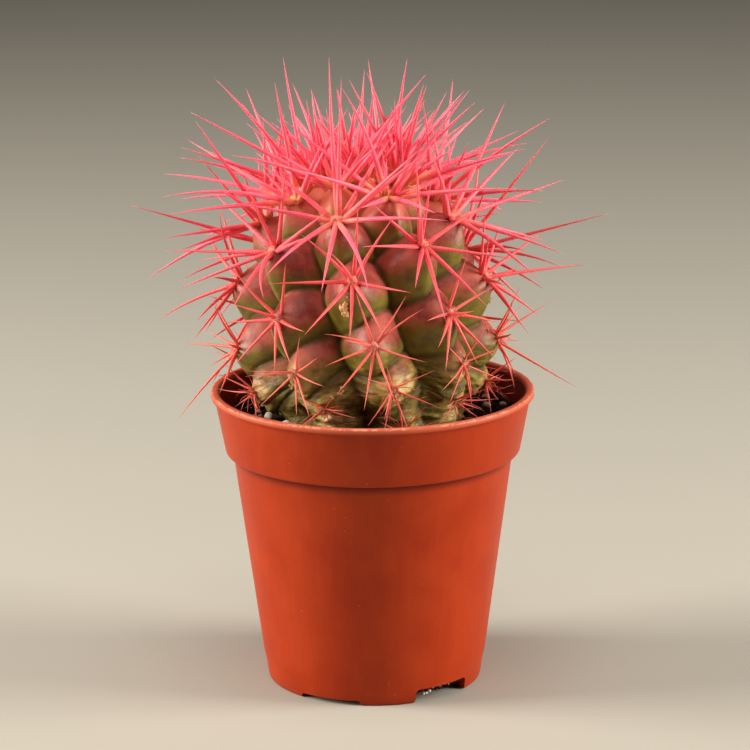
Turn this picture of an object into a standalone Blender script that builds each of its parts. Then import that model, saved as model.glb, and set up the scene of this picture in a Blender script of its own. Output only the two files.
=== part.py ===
"""Young golden barrel cactus with dyed spines, growing in a small plastic nursery pot.

Three solids: the pot, the soil that fills it, and the plant, which is one grown piece.
The origin is on the pot's axis, at the level that the pot stands on. Metres, +Z up, front towards -Y.
"""

import math
import random

import bmesh
import bpy
import numpy as np
from mathutils import Euler, Matrix, Vector

MM = 0.001
TINY = 1e-9
GAP = 0.3 * MM

# Pot: a turned thin wall with a lip, a deep collar under it, and a foot ring round a raised base
POT_HEIGHT = 50.8 * MM
LIP_RADIUS = 27.5 * MM
LIP_DEPTH = 1.1 * MM
LIP_ROUNDING = 0.35 * MM
COLLAR_TOP_RADIUS = 26.9 * MM
COLLAR_BOTTOM_RADIUS = 25.1 * MM
COLLAR_BOTTOM = 40.2 * MM
WALL_TOP_RADIUS = 23.9 * MM
WALL_BOTTOM_RADIUS = 19.15 * MM
LEDGE_HEIGHT = 4.8 * MM
LEDGE_STEP = 0.35 * MM
FOOT_RADIUS = 18.3 * MM
FOOT_ROUNDING = 0.4 * MM
WALL = 0.8 * MM
COLLAR_SLOPE_HEIGHT = 0.9 * MM
BASE_TOP = 1.8 * MM
BASE_BOTTOM = 0.8 * MM
POT_STEPS = 45

# Drain notches at the foot: two deep and two shallow ones
NOTCH_WIDTH = 11.0 * MM
NOTCH_REACH = 4.6 * MM
NOTCH_RADIUS = 17.8 * MM
NOTCH_BELOW = 1.0 * MM
DEEP_NOTCH_HEIGHT = 2.4 * MM
SHALLOW_NOTCH_HEIGHT = 1.1 * MM
DEEP_NOTCH_ANGLES = (39.0, 219.0)
SHALLOW_NOTCH_ANGLES = (-25.0, 155.0)

# Soil
SOIL_LEVEL = 46.1 * MM
SOIL_RISE = 1.2 * MM
SOIL_RISE_CENTRE = (-15.0 * MM, -11.0 * MM)
SOIL_RISE_SPREAD = 8.0 * MM
SOIL_UNEVENNESS = 0.18 * MM
SOIL_RIPPLES = (2.1 * MM, 2.6 * MM, 3.7 * MM)
SOIL_RIPPLE_SHIFT = 1.3
SOIL_STEPS = 40
SOIL_RINGS = 6
SOIL_MIDDLE = 8.0 * MM
GRAIN_COUNT = 26
GRAIN_SMALL = 0.45 * MM
GRAIN_LARGE = 1.1 * MM
GRAIN_SINK = 0.35
GRAIN_SEED = 11
GRAIN_RING_INNER = 19.0 * MM
GRAIN_RING_MARGIN = 1.8 * MM
GRAIN_SPACING = 3.0 * MM
HOLE_CLEARANCE = 0.5 * MM
HOLE_RINGS = 24

# The two large grains at the front left: place across and forward, and radius, in millimetres
GRAINS_SEEN = ((-17.3, -6.4, 1.15), (-14.4, -12.9, 1.0))

# Body of the plant, in its own upright frame: a ball outline, fuller above its middle, with a neck below
BODY_PLACE = Vector((-1.2, 0.0, 61.1)) * MM
LEAN_BACK = math.radians(12.0)
LEAN_LEFT = math.radians(4.2)
BODY_RADIUS = 22.6 * MM
BODY_RISE = 25.8 * MM
BODY_DROP = 17.0 * MM
CROWN_POWER = 2.3
BELLY_POWER = 2.7
CROWN_DIP = 0.9 * MM
CROWN_DIP_RADIUS = 5.0 * MM
NECK_LATITUDE = -53.0
NECK_LENGTH = 13.0 * MM
NECK_TAPER = 0.12
ROOT_END_ARC = 14.0
SLOPE_STEP = 0.3
BODY_COLUMNS = 50
BODY_RINGS = 34

# Areoles: one spiral that falls into nine nearly upright columns; nine steps go down one row
SPIRAL_STEP = 80.8
SPIRAL_START = -17.1
STEPS_PER_ROW = 9
ROW_ZERO_LATITUDE = 74.7
ROW_LATITUDE = 27.7
CROWN_ROW = 0.5
FIRST_AREOLE = -13
LAST_AREOLE = 45
FIRST_MOUND = -16
LAST_MOUND = 47

# Tubercles: rounded mounds round the areoles, each a little lower than its areole
MOUND_DROP = 0.13
MOUND_SLOPE = 0.86
MOUND_ROUNDING = 2.4 * MM
MOUND_BLEND = 0.25 * MM
MOUND_FADE_FROM = -56.0
MOUND_FADE_TO = -70.0

# Spines: long round the crown, short and fine at the foot of the plant
SPINE_SEED = 4
SPINE_SIDES = 3
SPINE_BASE_LENGTH = 8.8 * MM
SPINE_CROWN_EXTRA = 14.0 * MM
SPINE_CROWN_ROW = 0.3
SPINE_CROWN_SPREAD = 1.35
SPINE_WEAR_ROW = 3.3
SPINE_WEAR = 1.6 * MM
SPINE_THICK = 0.43 * MM
SPINE_THIN = 0.2 * MM
SPINE_THIN_FROM = 1.6
SPINE_THIN_TO = 4.2
SPINE_SINK = 1.0 * MM
SPINE_RING = 3.5
RADIAL_COUNT = 8
RADIAL_LIFT = 22.0
CENTRAL_LIFT = 62.0
CENTRALS_ABOVE_ROW = 1.9
CLOCK_SCATTER = 9.0
LIFT_SCATTER = 7.0
LENGTH_RANGE = (0.82, 1.1)
CENTRAL_CLOCK_SCATTER = 25.0
CENTRAL_LIFT_SCATTER = 13.0
CENTRAL_LENGTH_RANGE = (0.95, 1.15)
CROWN_LIFT = 25.0
CROWN_LIFT_ROW = 0.9
SPINE_MARGIN = 0.9 * MM
SPINE_SHORTEST = 2.5 * MM
SPINE_SPACE = 0.2 * MM
SPINE_CHECKS = 12
SPINE_CHECK_FROM = 2
SPINE_ROOT_SHARE = 0.1
SPINE_TRIES = 11
SPINE_TURN = 5.0
SPINE_RAISE = 1.5
SPINE_STEEPEST = 75.0
SPINE_SHORTER = 0.985
REACH = (40.6 * MM, 39.0 * MM)

# Surfaces: linear colour and roughness
POT_COLOR = (0.52, 0.10, 0.035)
POT_ROUGHNESS = 0.5
PLANT_COLOR = (0.30, 0.13, 0.085)
PLANT_ROUGHNESS = 0.55
SOIL_COLOR = (0.02, 0.014, 0.011)
SOIL_ROUGHNESS = 0.95

# Clock angles of the flat spines in the stars that face the front, in degrees from up, seen from outside
STARS = {
    9: (-90, -150, 180, 160, 75, 110, -55, 30),
    18: (-90, -50, 10, 45, 110, 155, -175, -140),
    27: (-10, 35, 55, -70, -105, -135, -165, 165, 110),
    36: (-20, 50, 110, 165, -170, -140, -50),
    14: (-95, 115, -140, -165, 160, 60, -50, 10),
    23: (15, 65, 105, 145, 165, -150, -130, -95),
    32: (5, 110, 170, -140, -110, 60, -60),
    13: (100, 140, 165, -100, -120, 75, -60, 20),
    22: (-35, -90, -140, 165, 145, 105, 35),
    31: (35, 65, 100, 155, -175, -130, -85),
    40: (60, 90, 180, -150, -120, -20, 15),
}

# Outstanding spines: clock angle and lift in degrees, length in millimetres
LONG_SPINES = {
    9: ((5, 50, 27), (15, 55, 24), (90, 45, 23)),
    5: ((-95, 60, 26), (75, 55, 22), (55, 55, 20)),
    0: ((-110, 40, 27), (-40, 55, 20), (-25, 50, 18), (75, 45, 24)),
    1: ((-65, 55, 22), (-115, 55, 23), (-95, 50, 20)),
    4: ((-110, 30, 24), (-50, 50, 23), (90, 60, 26)),
    6: ((65, 60, 26), (-100, 40, 28), (95, 45, 22)),
    10: ((40, 55, 22), (75, 35, 22), (105, 40, 23)),
    8: ((65, 45, 26), (130, 30, 20), (-40, 35, 18)),
    12: ((85, 30, 28), (50, 30, 21)),
    15: ((-45, 45, 24), (-100, 50, 26), (10, 40, 19), (-120, 30, 17)),
    14: ((-90, 60, 17), (-40, 65, 15)),
    13: ((-100, 30, 18), (20, 60, 14)),
    17: ((-135, 45, 16),),
    19: ((100, 55, 19), (65, 40, 15)),
    26: ((-165, 45, 15), (-80, 40, 11)),
    28: ((180, 60, 16), (40, 50, 12)),
}


def clear_scene():
    """Removes every object of the scene."""
    for old in list(bpy.data.objects):
        bpy.data.objects.remove(old, do_unlink=True)


def make_collection(name):
    """A new collection in the scene."""
    group = bpy.data.collections.new(name)
    bpy.context.scene.collection.children.link(group)
    return group


def make_material(name, color, roughness):
    """A plain non-metallic surface."""
    made = bpy.data.materials.new(name)
    made.use_nodes = True
    shader = made.node_tree.nodes["Principled BSDF"]
    shader.inputs["Base Color"].default_value = (*color, 1.0)
    shader.inputs["Roughness"].default_value = roughness
    shader.inputs["Metallic"].default_value = 0.0
    return made


def add_object(name, mesh, group):
    """An object for this mesh, in this collection."""
    thing = bpy.data.objects.new(name, mesh)
    group.objects.link(thing)
    return thing


def hide_cutter(cutter):
    """Marks an object that only shapes others."""
    cutter.hide_render = True
    cutter.display_type = "WIRE"
    return cutter


def turn(name, profile, steps, group):
    """A solid turned round the Z axis from (radius, height) points that run down the outer side."""
    mesh = bpy.data.meshes.new(name)
    points = [(radius, 0.0, height) for radius, height in profile]
    mesh.from_pydata(points, [(i, i + 1) for i in range(len(points) - 1)], [])
    thing = add_object(name, mesh, group)
    screw = thing.modifiers.new("Turn", "SCREW")
    screw.steps = steps
    screw.render_steps = steps
    screw.use_merge_vertices = True
    screw.merge_threshold = 0.00001
    screw.use_smooth_shade = True
    return thing


def blend(low, high, share):
    """The value that lies this share of the way from low to high."""
    return low + (high - low) * share


def ramp(value, start, end):
    """0 before start, 1 past end, and a smooth rise between them."""
    share = min(max((value - start) / (end - start), 0.0), 1.0)
    return share * share * (3.0 - 2.0 * share)


# Pot


def wall_radius(height):
    """Outer radius of the wall below the collar."""
    share = (height - LEDGE_HEIGHT) / (COLLAR_BOTTOM - LEDGE_HEIGHT)
    return blend(WALL_BOTTOM_RADIUS, WALL_TOP_RADIUS, share)


def inner_profile():
    """Inside of the pot, from the base's rim up to the lip, as (radius, height)."""
    base_radius = FOOT_RADIUS - WALL
    collar_floor = COLLAR_BOTTOM - COLLAR_SLOPE_HEIGHT
    return [
        (base_radius, BASE_TOP),
        (WALL_BOTTOM_RADIUS - WALL, LEDGE_HEIGHT + WALL),
        (wall_radius(collar_floor) - WALL, collar_floor),
        (COLLAR_BOTTOM_RADIUS - WALL, COLLAR_BOTTOM),
        (COLLAR_TOP_RADIUS - WALL, POT_HEIGHT - LIP_DEPTH),
    ]


def pot_profile():
    """The whole section of the pot: inside upwards, over the lip, and down the outer side to the base."""
    lip_inner = COLLAR_TOP_RADIUS - WALL + LIP_ROUNDING
    lip_base = POT_HEIGHT - LIP_DEPTH
    ledge_radius = WALL_BOTTOM_RADIUS - LEDGE_STEP
    ring_inner = FOOT_RADIUS - WALL
    return [
        (0.0, BASE_TOP),
        *inner_profile(),
        (COLLAR_TOP_RADIUS - WALL, POT_HEIGHT - LIP_ROUNDING),
        (lip_inner, POT_HEIGHT),
        (LIP_RADIUS - LIP_ROUNDING, POT_HEIGHT),
        (LIP_RADIUS, POT_HEIGHT - LIP_ROUNDING),
        (LIP_RADIUS, lip_base + LIP_ROUNDING),
        (LIP_RADIUS - LIP_ROUNDING, lip_base),
        (COLLAR_TOP_RADIUS, lip_base),
        (COLLAR_BOTTOM_RADIUS, COLLAR_BOTTOM + LIP_ROUNDING),
        (COLLAR_BOTTOM_RADIUS - LIP_ROUNDING, COLLAR_BOTTOM),
        (WALL_TOP_RADIUS, COLLAR_BOTTOM),
        (WALL_BOTTOM_RADIUS, LEDGE_HEIGHT),
        (ledge_radius, LEDGE_HEIGHT - LEDGE_STEP),
        (FOOT_RADIUS, FOOT_ROUNDING),
        (FOOT_RADIUS - FOOT_ROUNDING, 0.0),
        (ring_inner - LEDGE_STEP, 0.0),
        (ring_inner - LEDGE_STEP, BASE_BOTTOM),
        (0.0, BASE_BOTTOM),
    ]


def notch_cutter(name, angle, height, group):
    """A box through the foot ring at this angle from the front, up to this height."""
    mesh = bpy.data.meshes.new(name)
    box = bmesh.new()
    bmesh.ops.create_cube(box, size=1.0)
    bmesh.ops.scale(box, verts=box.verts, vec=(NOTCH_WIDTH, NOTCH_REACH, height + NOTCH_BELOW))
    box.to_mesh(mesh)
    box.free()
    cutter = hide_cutter(add_object(name, mesh, group))
    bearing = math.radians(angle)
    out = Vector((math.sin(bearing), -math.cos(bearing), 0.0))
    cutter.location = out * NOTCH_RADIUS + Vector((0.0, 0.0, (height - NOTCH_BELOW) / 2.0))
    cutter.rotation_euler = (0.0, 0.0, bearing)
    return cutter


def build_pot(parts, cutters):
    """The pot with its four drain notches."""
    pot = turn("pot", pot_profile(), POT_STEPS, parts)
    notches = [(angle, DEEP_NOTCH_HEIGHT) for angle in DEEP_NOTCH_ANGLES]
    notches += [(angle, SHALLOW_NOTCH_HEIGHT) for angle in SHALLOW_NOTCH_ANGLES]
    for angle, height in notches:
        name = f"notch_{angle:.0f}"
        cut = pot.modifiers.new(name, "BOOLEAN")
        cut.operation = "DIFFERENCE"
        cut.object = notch_cutter(name, angle, height, cutters)
    pot.data.materials.append(make_material("terracotta_plastic", POT_COLOR, POT_ROUGHNESS))
    return pot


# Body of the plant


def belly_radius(latitude):
    """Radius of the lower half, which is fuller than a ball, at a latitude below the middle."""
    depth = abs(math.sin(math.radians(latitude)))
    return BODY_RADIUS * (1.0 - depth**BELLY_POWER) ** (1.0 / BELLY_POWER)


def outline(latitude):
    """Radius and height of the body's smooth outline, from latitude 90 at the crown to -90 at the root."""
    sine = math.sin(math.radians(latitude))
    if latitude >= 0.0:
        radius = BODY_RADIUS * max(1.0 - sine**CROWN_POWER, 0.0) ** (1.0 / CROWN_POWER)
        dip = CROWN_DIP * math.exp(-((radius / CROWN_DIP_RADIUS) ** 2))
        return radius, BODY_RISE * sine - dip
    if latitude >= NECK_LATITUDE:
        return belly_radius(latitude), BODY_DROP * sine
    share = (NECK_LATITUDE - latitude) / (NECK_LATITUDE + 90.0)
    radius = belly_radius(NECK_LATITUDE) * (1.0 - NECK_TAPER * share)
    end = min(max((ROOT_END_ARC - 90.0 - latitude) / ROOT_END_ARC, 0.0), 1.0)
    height = BODY_DROP * math.sin(math.radians(NECK_LATITUDE)) - NECK_LENGTH * share
    return radius * math.sqrt(max(1.0 - end * end, 0.0)), height


def row_latitude(row):
    """Latitude of a row of areoles; the rows close up towards the crown."""
    if row >= CROWN_ROW:
        return ROW_ZERO_LATITUDE - ROW_LATITUDE * row
    polar = 90.0 - ROW_ZERO_LATITUDE + ROW_LATITUDE * CROWN_ROW
    return 90.0 - polar * math.exp((row - CROWN_ROW) * ROW_LATITUDE / polar)


def body_frame(bearing, latitude):
    """Place and the outward, upward and rightward directions on the smooth outline, seen from outside."""
    low = outline(latitude - SLOPE_STEP)
    high = outline(latitude + SLOPE_STEP)
    here = outline(latitude)
    ahead = Vector((math.sin(bearing), -math.cos(bearing), 0.0))
    right = Vector((math.cos(bearing), math.sin(bearing), 0.0))
    up = (ahead * (high[0] - low[0]) + Vector((0.0, 0.0, high[1] - low[1]))).normalized()
    return ahead * here[0] + Vector((0.0, 0.0, here[1])), right.cross(up).normalized(), up, right


def areole_frame(number, drop=0.0):
    """body_frame of an areole of the spiral, or of a point this many rows below it."""
    row = number / STEPS_PER_ROW + drop
    return body_frame(math.radians(SPIRAL_START + SPIRAL_STEP * number), row_latitude(row))


MOUNDS = np.array([areole_frame(n, MOUND_DROP)[0][:] for n in range(FIRST_MOUND, LAST_MOUND + 1)])


def furrow(place, latitude):
    """Depth below the smooth outline: each mound falls away from its centre, and the highest one shows."""
    away = np.linalg.norm(MOUNDS - np.array(place[:]), axis=1)
    depths = MOUND_SLOPE * (np.sqrt(away**2 + MOUND_ROUNDING**2) - MOUND_ROUNDING)
    highest = depths.min()
    depth = highest - MOUND_BLEND * math.log(np.exp((highest - depths) / MOUND_BLEND).sum())
    return max(depth, 0.0) * (1.0 - ramp(-latitude, -MOUND_FADE_FROM, -MOUND_FADE_TO))


def shape_ball(mesh, columns, rings, carve, swell=0.0):
    """Fills mesh with a ball drawn out over the body's outline, carved into mounds or swollen evenly."""
    ball = bmesh.new()
    bmesh.ops.create_uvsphere(ball, u_segments=columns, v_segments=rings, radius=1.0)
    for vert in ball.verts:
        latitude = math.degrees(math.asin(min(max(vert.co.z, -1.0), 1.0)))
        bearing = math.atan2(vert.co.x, -vert.co.y)
        place, out, _, _ = body_frame(bearing, latitude)
        depth = furrow(place, latitude) if carve else 0.0
        vert.co = place + out * (swell - depth)
    bmesh.ops.recalc_face_normals(ball, faces=ball.faces)
    ball.to_mesh(mesh)
    ball.free()


def stand(thing):
    """Leans an object that is modelled in the body's own frame, and sets it on the body's place."""
    thing.rotation_euler = Euler((-LEAN_BACK, -LEAN_LEFT, 0.0))
    thing.location = BODY_PLACE
    return thing


BODY_MATRIX = Matrix.Translation(BODY_PLACE) @ Euler((-LEAN_BACK, -LEAN_LEFT, 0.0)).to_matrix().to_4x4()


# Spines


def spine_length(row):
    """Usual length of a flat spine in a row."""
    crown = math.exp(-(((row - SPINE_CROWN_ROW) / SPINE_CROWN_SPREAD) ** 2))
    return SPINE_BASE_LENGTH + SPINE_CROWN_EXTRA * crown - SPINE_WEAR * max(row - SPINE_WEAR_ROW, 0.0)


def spine_radius(row):
    """Radius of a spine's root in a row."""
    return blend(SPINE_THICK, SPINE_THIN, ramp(row, SPINE_THIN_FROM, SPINE_THIN_TO))


def spine_rose(number):
    """Clock angle, lift and length of each usual spine of an areole."""
    chance = random.Random(f"{SPINE_SEED} {number}")
    row = number / STEPS_PER_ROW
    usual = spine_length(row)
    turned = chance.uniform(0.0, 360.0)
    apart = 360.0 / RADIAL_COUNT
    even = [turned + apart * k + chance.uniform(-CLOCK_SCATTER, CLOCK_SCATTER) for k in range(RADIAL_COUNT)]
    lift = RADIAL_LIFT + CROWN_LIFT * ramp(-row, -CROWN_LIFT_ROW, CROWN_LIFT_ROW)
    rose = []
    for clock in STARS.get(number, even):
        scatter = chance.uniform(-LIFT_SCATTER, LIFT_SCATTER)
        rose.append((clock, lift + scatter, usual * chance.uniform(*LENGTH_RANGE)))
    centrals = 0 if number in LONG_SPINES else 2 if row < CENTRALS_ABOVE_ROW else 1
    for k in range(centrals):
        aside = chance.uniform(-CENTRAL_CLOCK_SCATTER, CENTRAL_CLOCK_SCATTER)
        scatter = chance.uniform(-CENTRAL_LIFT_SCATTER, CENTRAL_LIFT_SCATTER)
        clock = turned + 360.0 * k / centrals + aside
        rose.append((clock, CENTRAL_LIFT + scatter, usual * chance.uniform(*CENTRAL_LENGTH_RANGE)))
    return rose


def soil_top(x, y):
    """Height of the soil's uneven top."""
    away = math.hypot(x - SOIL_RISE_CENTRE[0], y - SOIL_RISE_CENTRE[1])
    rise = SOIL_RISE * math.exp(-((away / SOIL_RISE_SPREAD) ** 2))
    across, forward, slanted = SOIL_RIPPLES
    ripple = math.sin(x / across + SOIL_RIPPLE_SHIFT) * math.cos(y / forward) + math.sin((x - y) / slanted)
    return SOIL_LEVEL + rise + SOIL_UNEVENNESS * ripple


def inner_radius(height):
    """Radius of the pot's inside at a height in its collar."""
    share = (height - COLLAR_BOTTOM) / (POT_HEIGHT - LIP_DEPTH - COLLAR_BOTTOM)
    return blend(COLLAR_BOTTOM_RADIUS, COLLAR_TOP_RADIUS, share) - WALL


def is_clear(root, tip, radius):
    """Whether a spine, past its root, stays clear of the pot and the soil."""
    margin = SPINE_MARGIN + radius
    for k in range(SPINE_CHECK_FROM, SPINE_CHECKS + 1):
        point = root.lerp(tip, k / SPINE_CHECKS)
        away = math.hypot(point.x, point.y)
        if point.z > POT_HEIGHT + margin or away > LIP_RADIUS + margin:
            continue
        if away > inner_radius(point.z) - margin or point.z < soil_top(point.x, point.y) + margin:
            return False
    return True


def spine_ends(number, clock, lift, length):
    """World places of a spine's root, on the skin a little off the areole's middle, and of its tip."""
    place, out, up, right = areole_frame(number)
    row = number / STEPS_PER_ROW
    bearing = math.radians(clock)
    flat = up * math.cos(bearing) + right * math.sin(bearing)
    rise = math.radians(lift)
    way = flat * math.cos(rise) + out * math.sin(rise)
    beside = place + flat * (SPINE_RING * spine_radius(row) * math.cos(rise))
    root = beside - out * furrow(beside, row_latitude(row))
    return BODY_MATRIX @ root, BODY_MATRIX @ (root + way * length)


def is_apart(root, tip, radius, spines):
    """Whether a spine passes every spine already placed, measured where the two come closest."""
    if not spines:
        return True
    roots = np.array([spine[0][:] for spine in spines])
    ways = np.array([spine[1][:] for spine in spines]) - roots
    radii = np.array([spine[2] for spine in spines])
    way = np.array(tip[:]) - np.array(root[:])
    offset = np.array(root[:]) - roots
    own, theirs, mixed = way @ way, (ways * ways).sum(1), ways @ way
    along, across = offset @ way, (ways * offset).sum(1)
    share = np.clip((mixed * across - along * theirs) / (own * theirs - mixed**2 + TINY**2), 0.0, 1.0)
    other = np.clip((mixed * share + across) / theirs, 0.0, 1.0)
    share = np.clip((mixed * other - along) / own, 0.0, 1.0)
    gaps = np.linalg.norm(offset + share[:, None] * way - other[:, None] * ways, axis=1)
    needed = radius * (1.0 - share) + radii * (1.0 - other) + SPINE_SPACE
    return bool(np.all((gaps > needed) | ((share < SPINE_ROOT_SHARE) & (other < SPINE_ROOT_SHARE))))


def place_spine(number, clock, lift, length, spines):
    """Adds a spine in the nearest attitude that clears the pot, the soil and the other spines."""
    radius = spine_radius(number / STEPS_PER_ROW)
    for attempt in range(SPINE_TRIES):
        side = (attempt + 1) // 2 * (1.0 if attempt % 2 else -1.0)
        turned = clock + SPINE_TURN * side
        raised = min(lift + SPINE_RAISE * attempt, SPINE_STEEPEST)
        size = length * SPINE_SHORTER**attempt
        root, tip = spine_ends(number, turned, max(raised, lift), size)
        if size > SPINE_SHORTEST and is_clear(root, tip, radius) and is_apart(root, tip, radius, spines):
            spines.append([root, tip, radius])
            return


def all_spines():
    """Root, tip and radius of every spine: outstanding ones come first, and the others fit between."""
    grown = []
    for number in range(FIRST_AREOLE, LAST_AREOLE + 1):
        place = BODY_MATRIX @ areole_frame(number)[0]
        if place.z > soil_top(place.x, place.y) + SPINE_MARGIN:
            grown.append(number)
    spines = []
    for number in grown:
        for clock, lift, size in LONG_SPINES.get(number, ()):
            place_spine(number, clock, lift, size * MM, spines)
    for number in grown:
        for clock, lift, length in spine_rose(number):
            place_spine(number, clock, lift, length, spines)
    return spines


def level_reach(spines):
    """Trims the widest spines, so that the plant reaches as far to each side, and as far to front and back."""
    for axis in (0, 1):
        for side in (-1.0, 1.0):
            widest = max(spines, key=lambda spine: side * spine[1][axis])
            for spine in spines:
                root, tip = spine[0], spine[1]
                if spine is widest or side * tip[axis] > REACH[axis]:
                    share = (side * REACH[axis] - root[axis]) / (tip[axis] - root[axis])
                    spine[1] = root.lerp(tip, share)


def needle(name, root, tip, radius, group):
    """A slim cone from below the skin at its root to its tip."""
    way = (tip - root).normalized()
    start = root - way * SPINE_SINK
    length = (tip - start).length
    mesh = bpy.data.meshes.new(name)
    cone = bmesh.new()
    sizes = {"radius1": radius, "radius2": 0.0, "depth": length}
    bmesh.ops.create_cone(cone, cap_ends=True, segments=SPINE_SIDES, **sizes)
    bmesh.ops.translate(cone, verts=cone.verts, vec=(0.0, 0.0, length / 2.0))
    cone.to_mesh(mesh)
    cone.free()
    thing = add_object(name, mesh, group)
    thing.matrix_world = Matrix.Translation(start) @ way.to_track_quat("Z", "Y").to_matrix().to_4x4()
    return thing


def keep_largest_shell(mesh):
    """Drops loose scraps, and fills hollows that a union sealed by removing their walls."""
    body = bmesh.new()
    body.from_mesh(mesh)
    left = set(body.verts)
    shells = []
    while left:
        shell = {left.pop()}
        front = list(shell)
        while front:
            near = {edge.other_vert(vert) for vert in front for edge in vert.link_edges} - shell
            shell |= near
            front = list(near)
        left -= shell
        shells.append(shell)
    shells.sort(key=len)
    bmesh.ops.delete(body, geom=[vert for shell in shells[:-1] for vert in shell], context="VERTS")
    body.to_mesh(mesh)
    body.free()


def fuse(thing, group):
    """Joins a collection of closed pieces to an object by one union, and removes the pieces."""
    bpy.context.view_layer.update()
    join = thing.modifiers.new("Join", "BOOLEAN")
    join.operation = "UNION"
    join.operand_type = "COLLECTION"
    join.collection = group
    join.solver = "MANIFOLD"
    made = bpy.data.meshes.new_from_object(thing.evaluated_get(bpy.context.evaluated_depsgraph_get()))
    thing.modifiers.remove(join)
    keep_largest_shell(made)
    thing.data = made
    for piece in list(group.objects):
        bpy.data.objects.remove(piece, do_unlink=True)
    bpy.data.collections.remove(group)


def build_cactus(parts):
    """The plant: its carved body with a star of spines at every areole, in one solid."""
    mesh = bpy.data.meshes.new("cactus")
    shape_ball(mesh, BODY_COLUMNS, BODY_RINGS, carve=True)
    cactus = stand(add_object("cactus", mesh, parts))
    growth = make_collection("growth")
    spines = all_spines()
    level_reach(spines)
    for k, (root, tip, radius) in enumerate(spines):
        needle(f"spine_{k}", root, tip, radius, growth)
    fuse(cactus, growth)
    cactus.data.materials.clear()
    cactus.data.materials.append(make_material("plant", PLANT_COLOR, PLANT_ROUGHNESS))
    return cactus


# Soil


def soil_profile():
    """Section of the soil: its top from the middle outwards, and down inside the pot's wall."""
    side = [(radius - GAP, height) for radius, height in reversed(inner_profile()[1:-1])]
    edge = inner_radius(SOIL_LEVEL) - GAP
    top = [(blend(SOIL_MIDDLE, edge, k / SOIL_RINGS), SOIL_LEVEL) for k in range(SOIL_RINGS + 1)]
    base_radius, base_top = inner_profile()[0]
    return [(0.0, SOIL_LEVEL), *top, *side, (base_radius - GAP, base_top + GAP), (0.0, base_top + GAP)]


def grain(name, x, y, radius, group):
    """A light grain half sunk in the soil's top."""
    mesh = bpy.data.meshes.new(name)
    bead = bmesh.new()
    bmesh.ops.create_icosphere(bead, subdivisions=1, radius=radius)
    bead.to_mesh(mesh)
    bead.free()
    thing = add_object(name, mesh, group)
    thing.location = (x, y, soil_top(x, y) + GRAIN_SINK * radius)
    thing.rotation_euler = (x / MM, y / MM, 0.0)


def scatter_grains(group):
    """The two large grains at the front, and small ones strewn over the ring of soil round the plant."""
    for k, (x, y, radius) in enumerate(GRAINS_SEEN):
        grain(f"grain_seen_{k}", x * MM, y * MM, radius * MM, group)
    chance = random.Random(GRAIN_SEED)
    foot = BODY_MATRIX @ Vector((0.0, 0.0, -BODY_DROP))
    outer = inner_radius(SOIL_LEVEL) - GRAIN_RING_MARGIN
    placed = [(x * MM, y * MM) for x, y, _ in GRAINS_SEEN]
    while len(placed) < GRAIN_COUNT:
        bearing = chance.uniform(0.0, math.tau)
        away = blend(GRAIN_RING_INNER, outer, chance.random())
        x, y = away * math.sin(bearing), away * math.cos(bearing)
        radius = blend(GRAIN_SMALL, GRAIN_LARGE, chance.random() ** 2)
        if any(math.hypot(x - a, y - b) < GRAIN_SPACING for a, b in placed):
            continue
        if math.hypot(x - foot.x, y - foot.y) < GRAIN_RING_INNER:
            continue
        placed.append((x, y))
        grain(f"grain_{len(placed)}", x, y, radius, group)


def build_soil(parts, cutters):
    """The soil that fills the pot, with an uneven top and a plain round hole for the plant's foot."""
    blank = turn("soil_blank", soil_profile(), SOIL_STEPS, parts)
    bpy.context.view_layer.update()
    mesh = bpy.data.meshes.new_from_object(blank.evaluated_get(bpy.context.evaluated_depsgraph_get()))
    bpy.data.objects.remove(blank, do_unlink=True)
    for vert in mesh.vertices:
        if vert.co.z > SOIL_LEVEL - TINY:
            vert.co.z = soil_top(vert.co.x, vert.co.y)
    soil = add_object("soil", mesh, parts)
    grains = make_collection("grains")
    scatter_grains(grains)
    fuse(soil, grains)
    hollow = bpy.data.meshes.new("foot_hole")
    shape_ball(hollow, POT_STEPS, HOLE_RINGS, carve=False, swell=HOLE_CLEARANCE)
    cutter = stand(hide_cutter(add_object("foot_hole", hollow, cutters)))
    hole = soil.modifiers.new("Hole", "BOOLEAN")
    hole.operation = "DIFFERENCE"
    hole.object = cutter
    soil.data.materials.clear()
    soil.data.materials.append(make_material("potting_soil", SOIL_COLOR, SOIL_ROUGHNESS))
    return soil


def main():
    clear_scene()
    parts = make_collection("potted_cactus")
    cutters = make_collection("cutters")
    build_pot(parts, cutters)
    build_soil(parts, cutters)
    build_cactus(parts)


main()
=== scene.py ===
"""Looks of a potted young golden barrel cactus with dyed spines.

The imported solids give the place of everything. Finer pieces stand for the pot, the soil and the plant,
and their sizes repeat those of the solids. Metres, +Z up, the front of the plant towards -Y. Angles and
latitudes are in degrees unless they are made with math.radians.
"""

import math
import random

import bpy
import numpy as np
from mathutils import Euler, Matrix


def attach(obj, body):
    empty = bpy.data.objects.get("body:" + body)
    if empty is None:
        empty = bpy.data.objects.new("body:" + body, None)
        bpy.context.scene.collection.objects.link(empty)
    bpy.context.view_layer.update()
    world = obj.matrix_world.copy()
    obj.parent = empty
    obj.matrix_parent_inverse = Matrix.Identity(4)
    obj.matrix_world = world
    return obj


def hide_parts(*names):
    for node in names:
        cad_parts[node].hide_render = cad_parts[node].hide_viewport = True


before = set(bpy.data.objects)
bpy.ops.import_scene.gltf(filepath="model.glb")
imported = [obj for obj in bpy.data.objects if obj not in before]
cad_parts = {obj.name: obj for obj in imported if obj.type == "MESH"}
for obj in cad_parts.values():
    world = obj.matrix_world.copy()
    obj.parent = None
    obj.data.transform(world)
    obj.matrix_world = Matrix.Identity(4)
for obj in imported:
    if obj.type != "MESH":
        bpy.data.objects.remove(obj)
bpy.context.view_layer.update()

MM = 0.001

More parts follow.
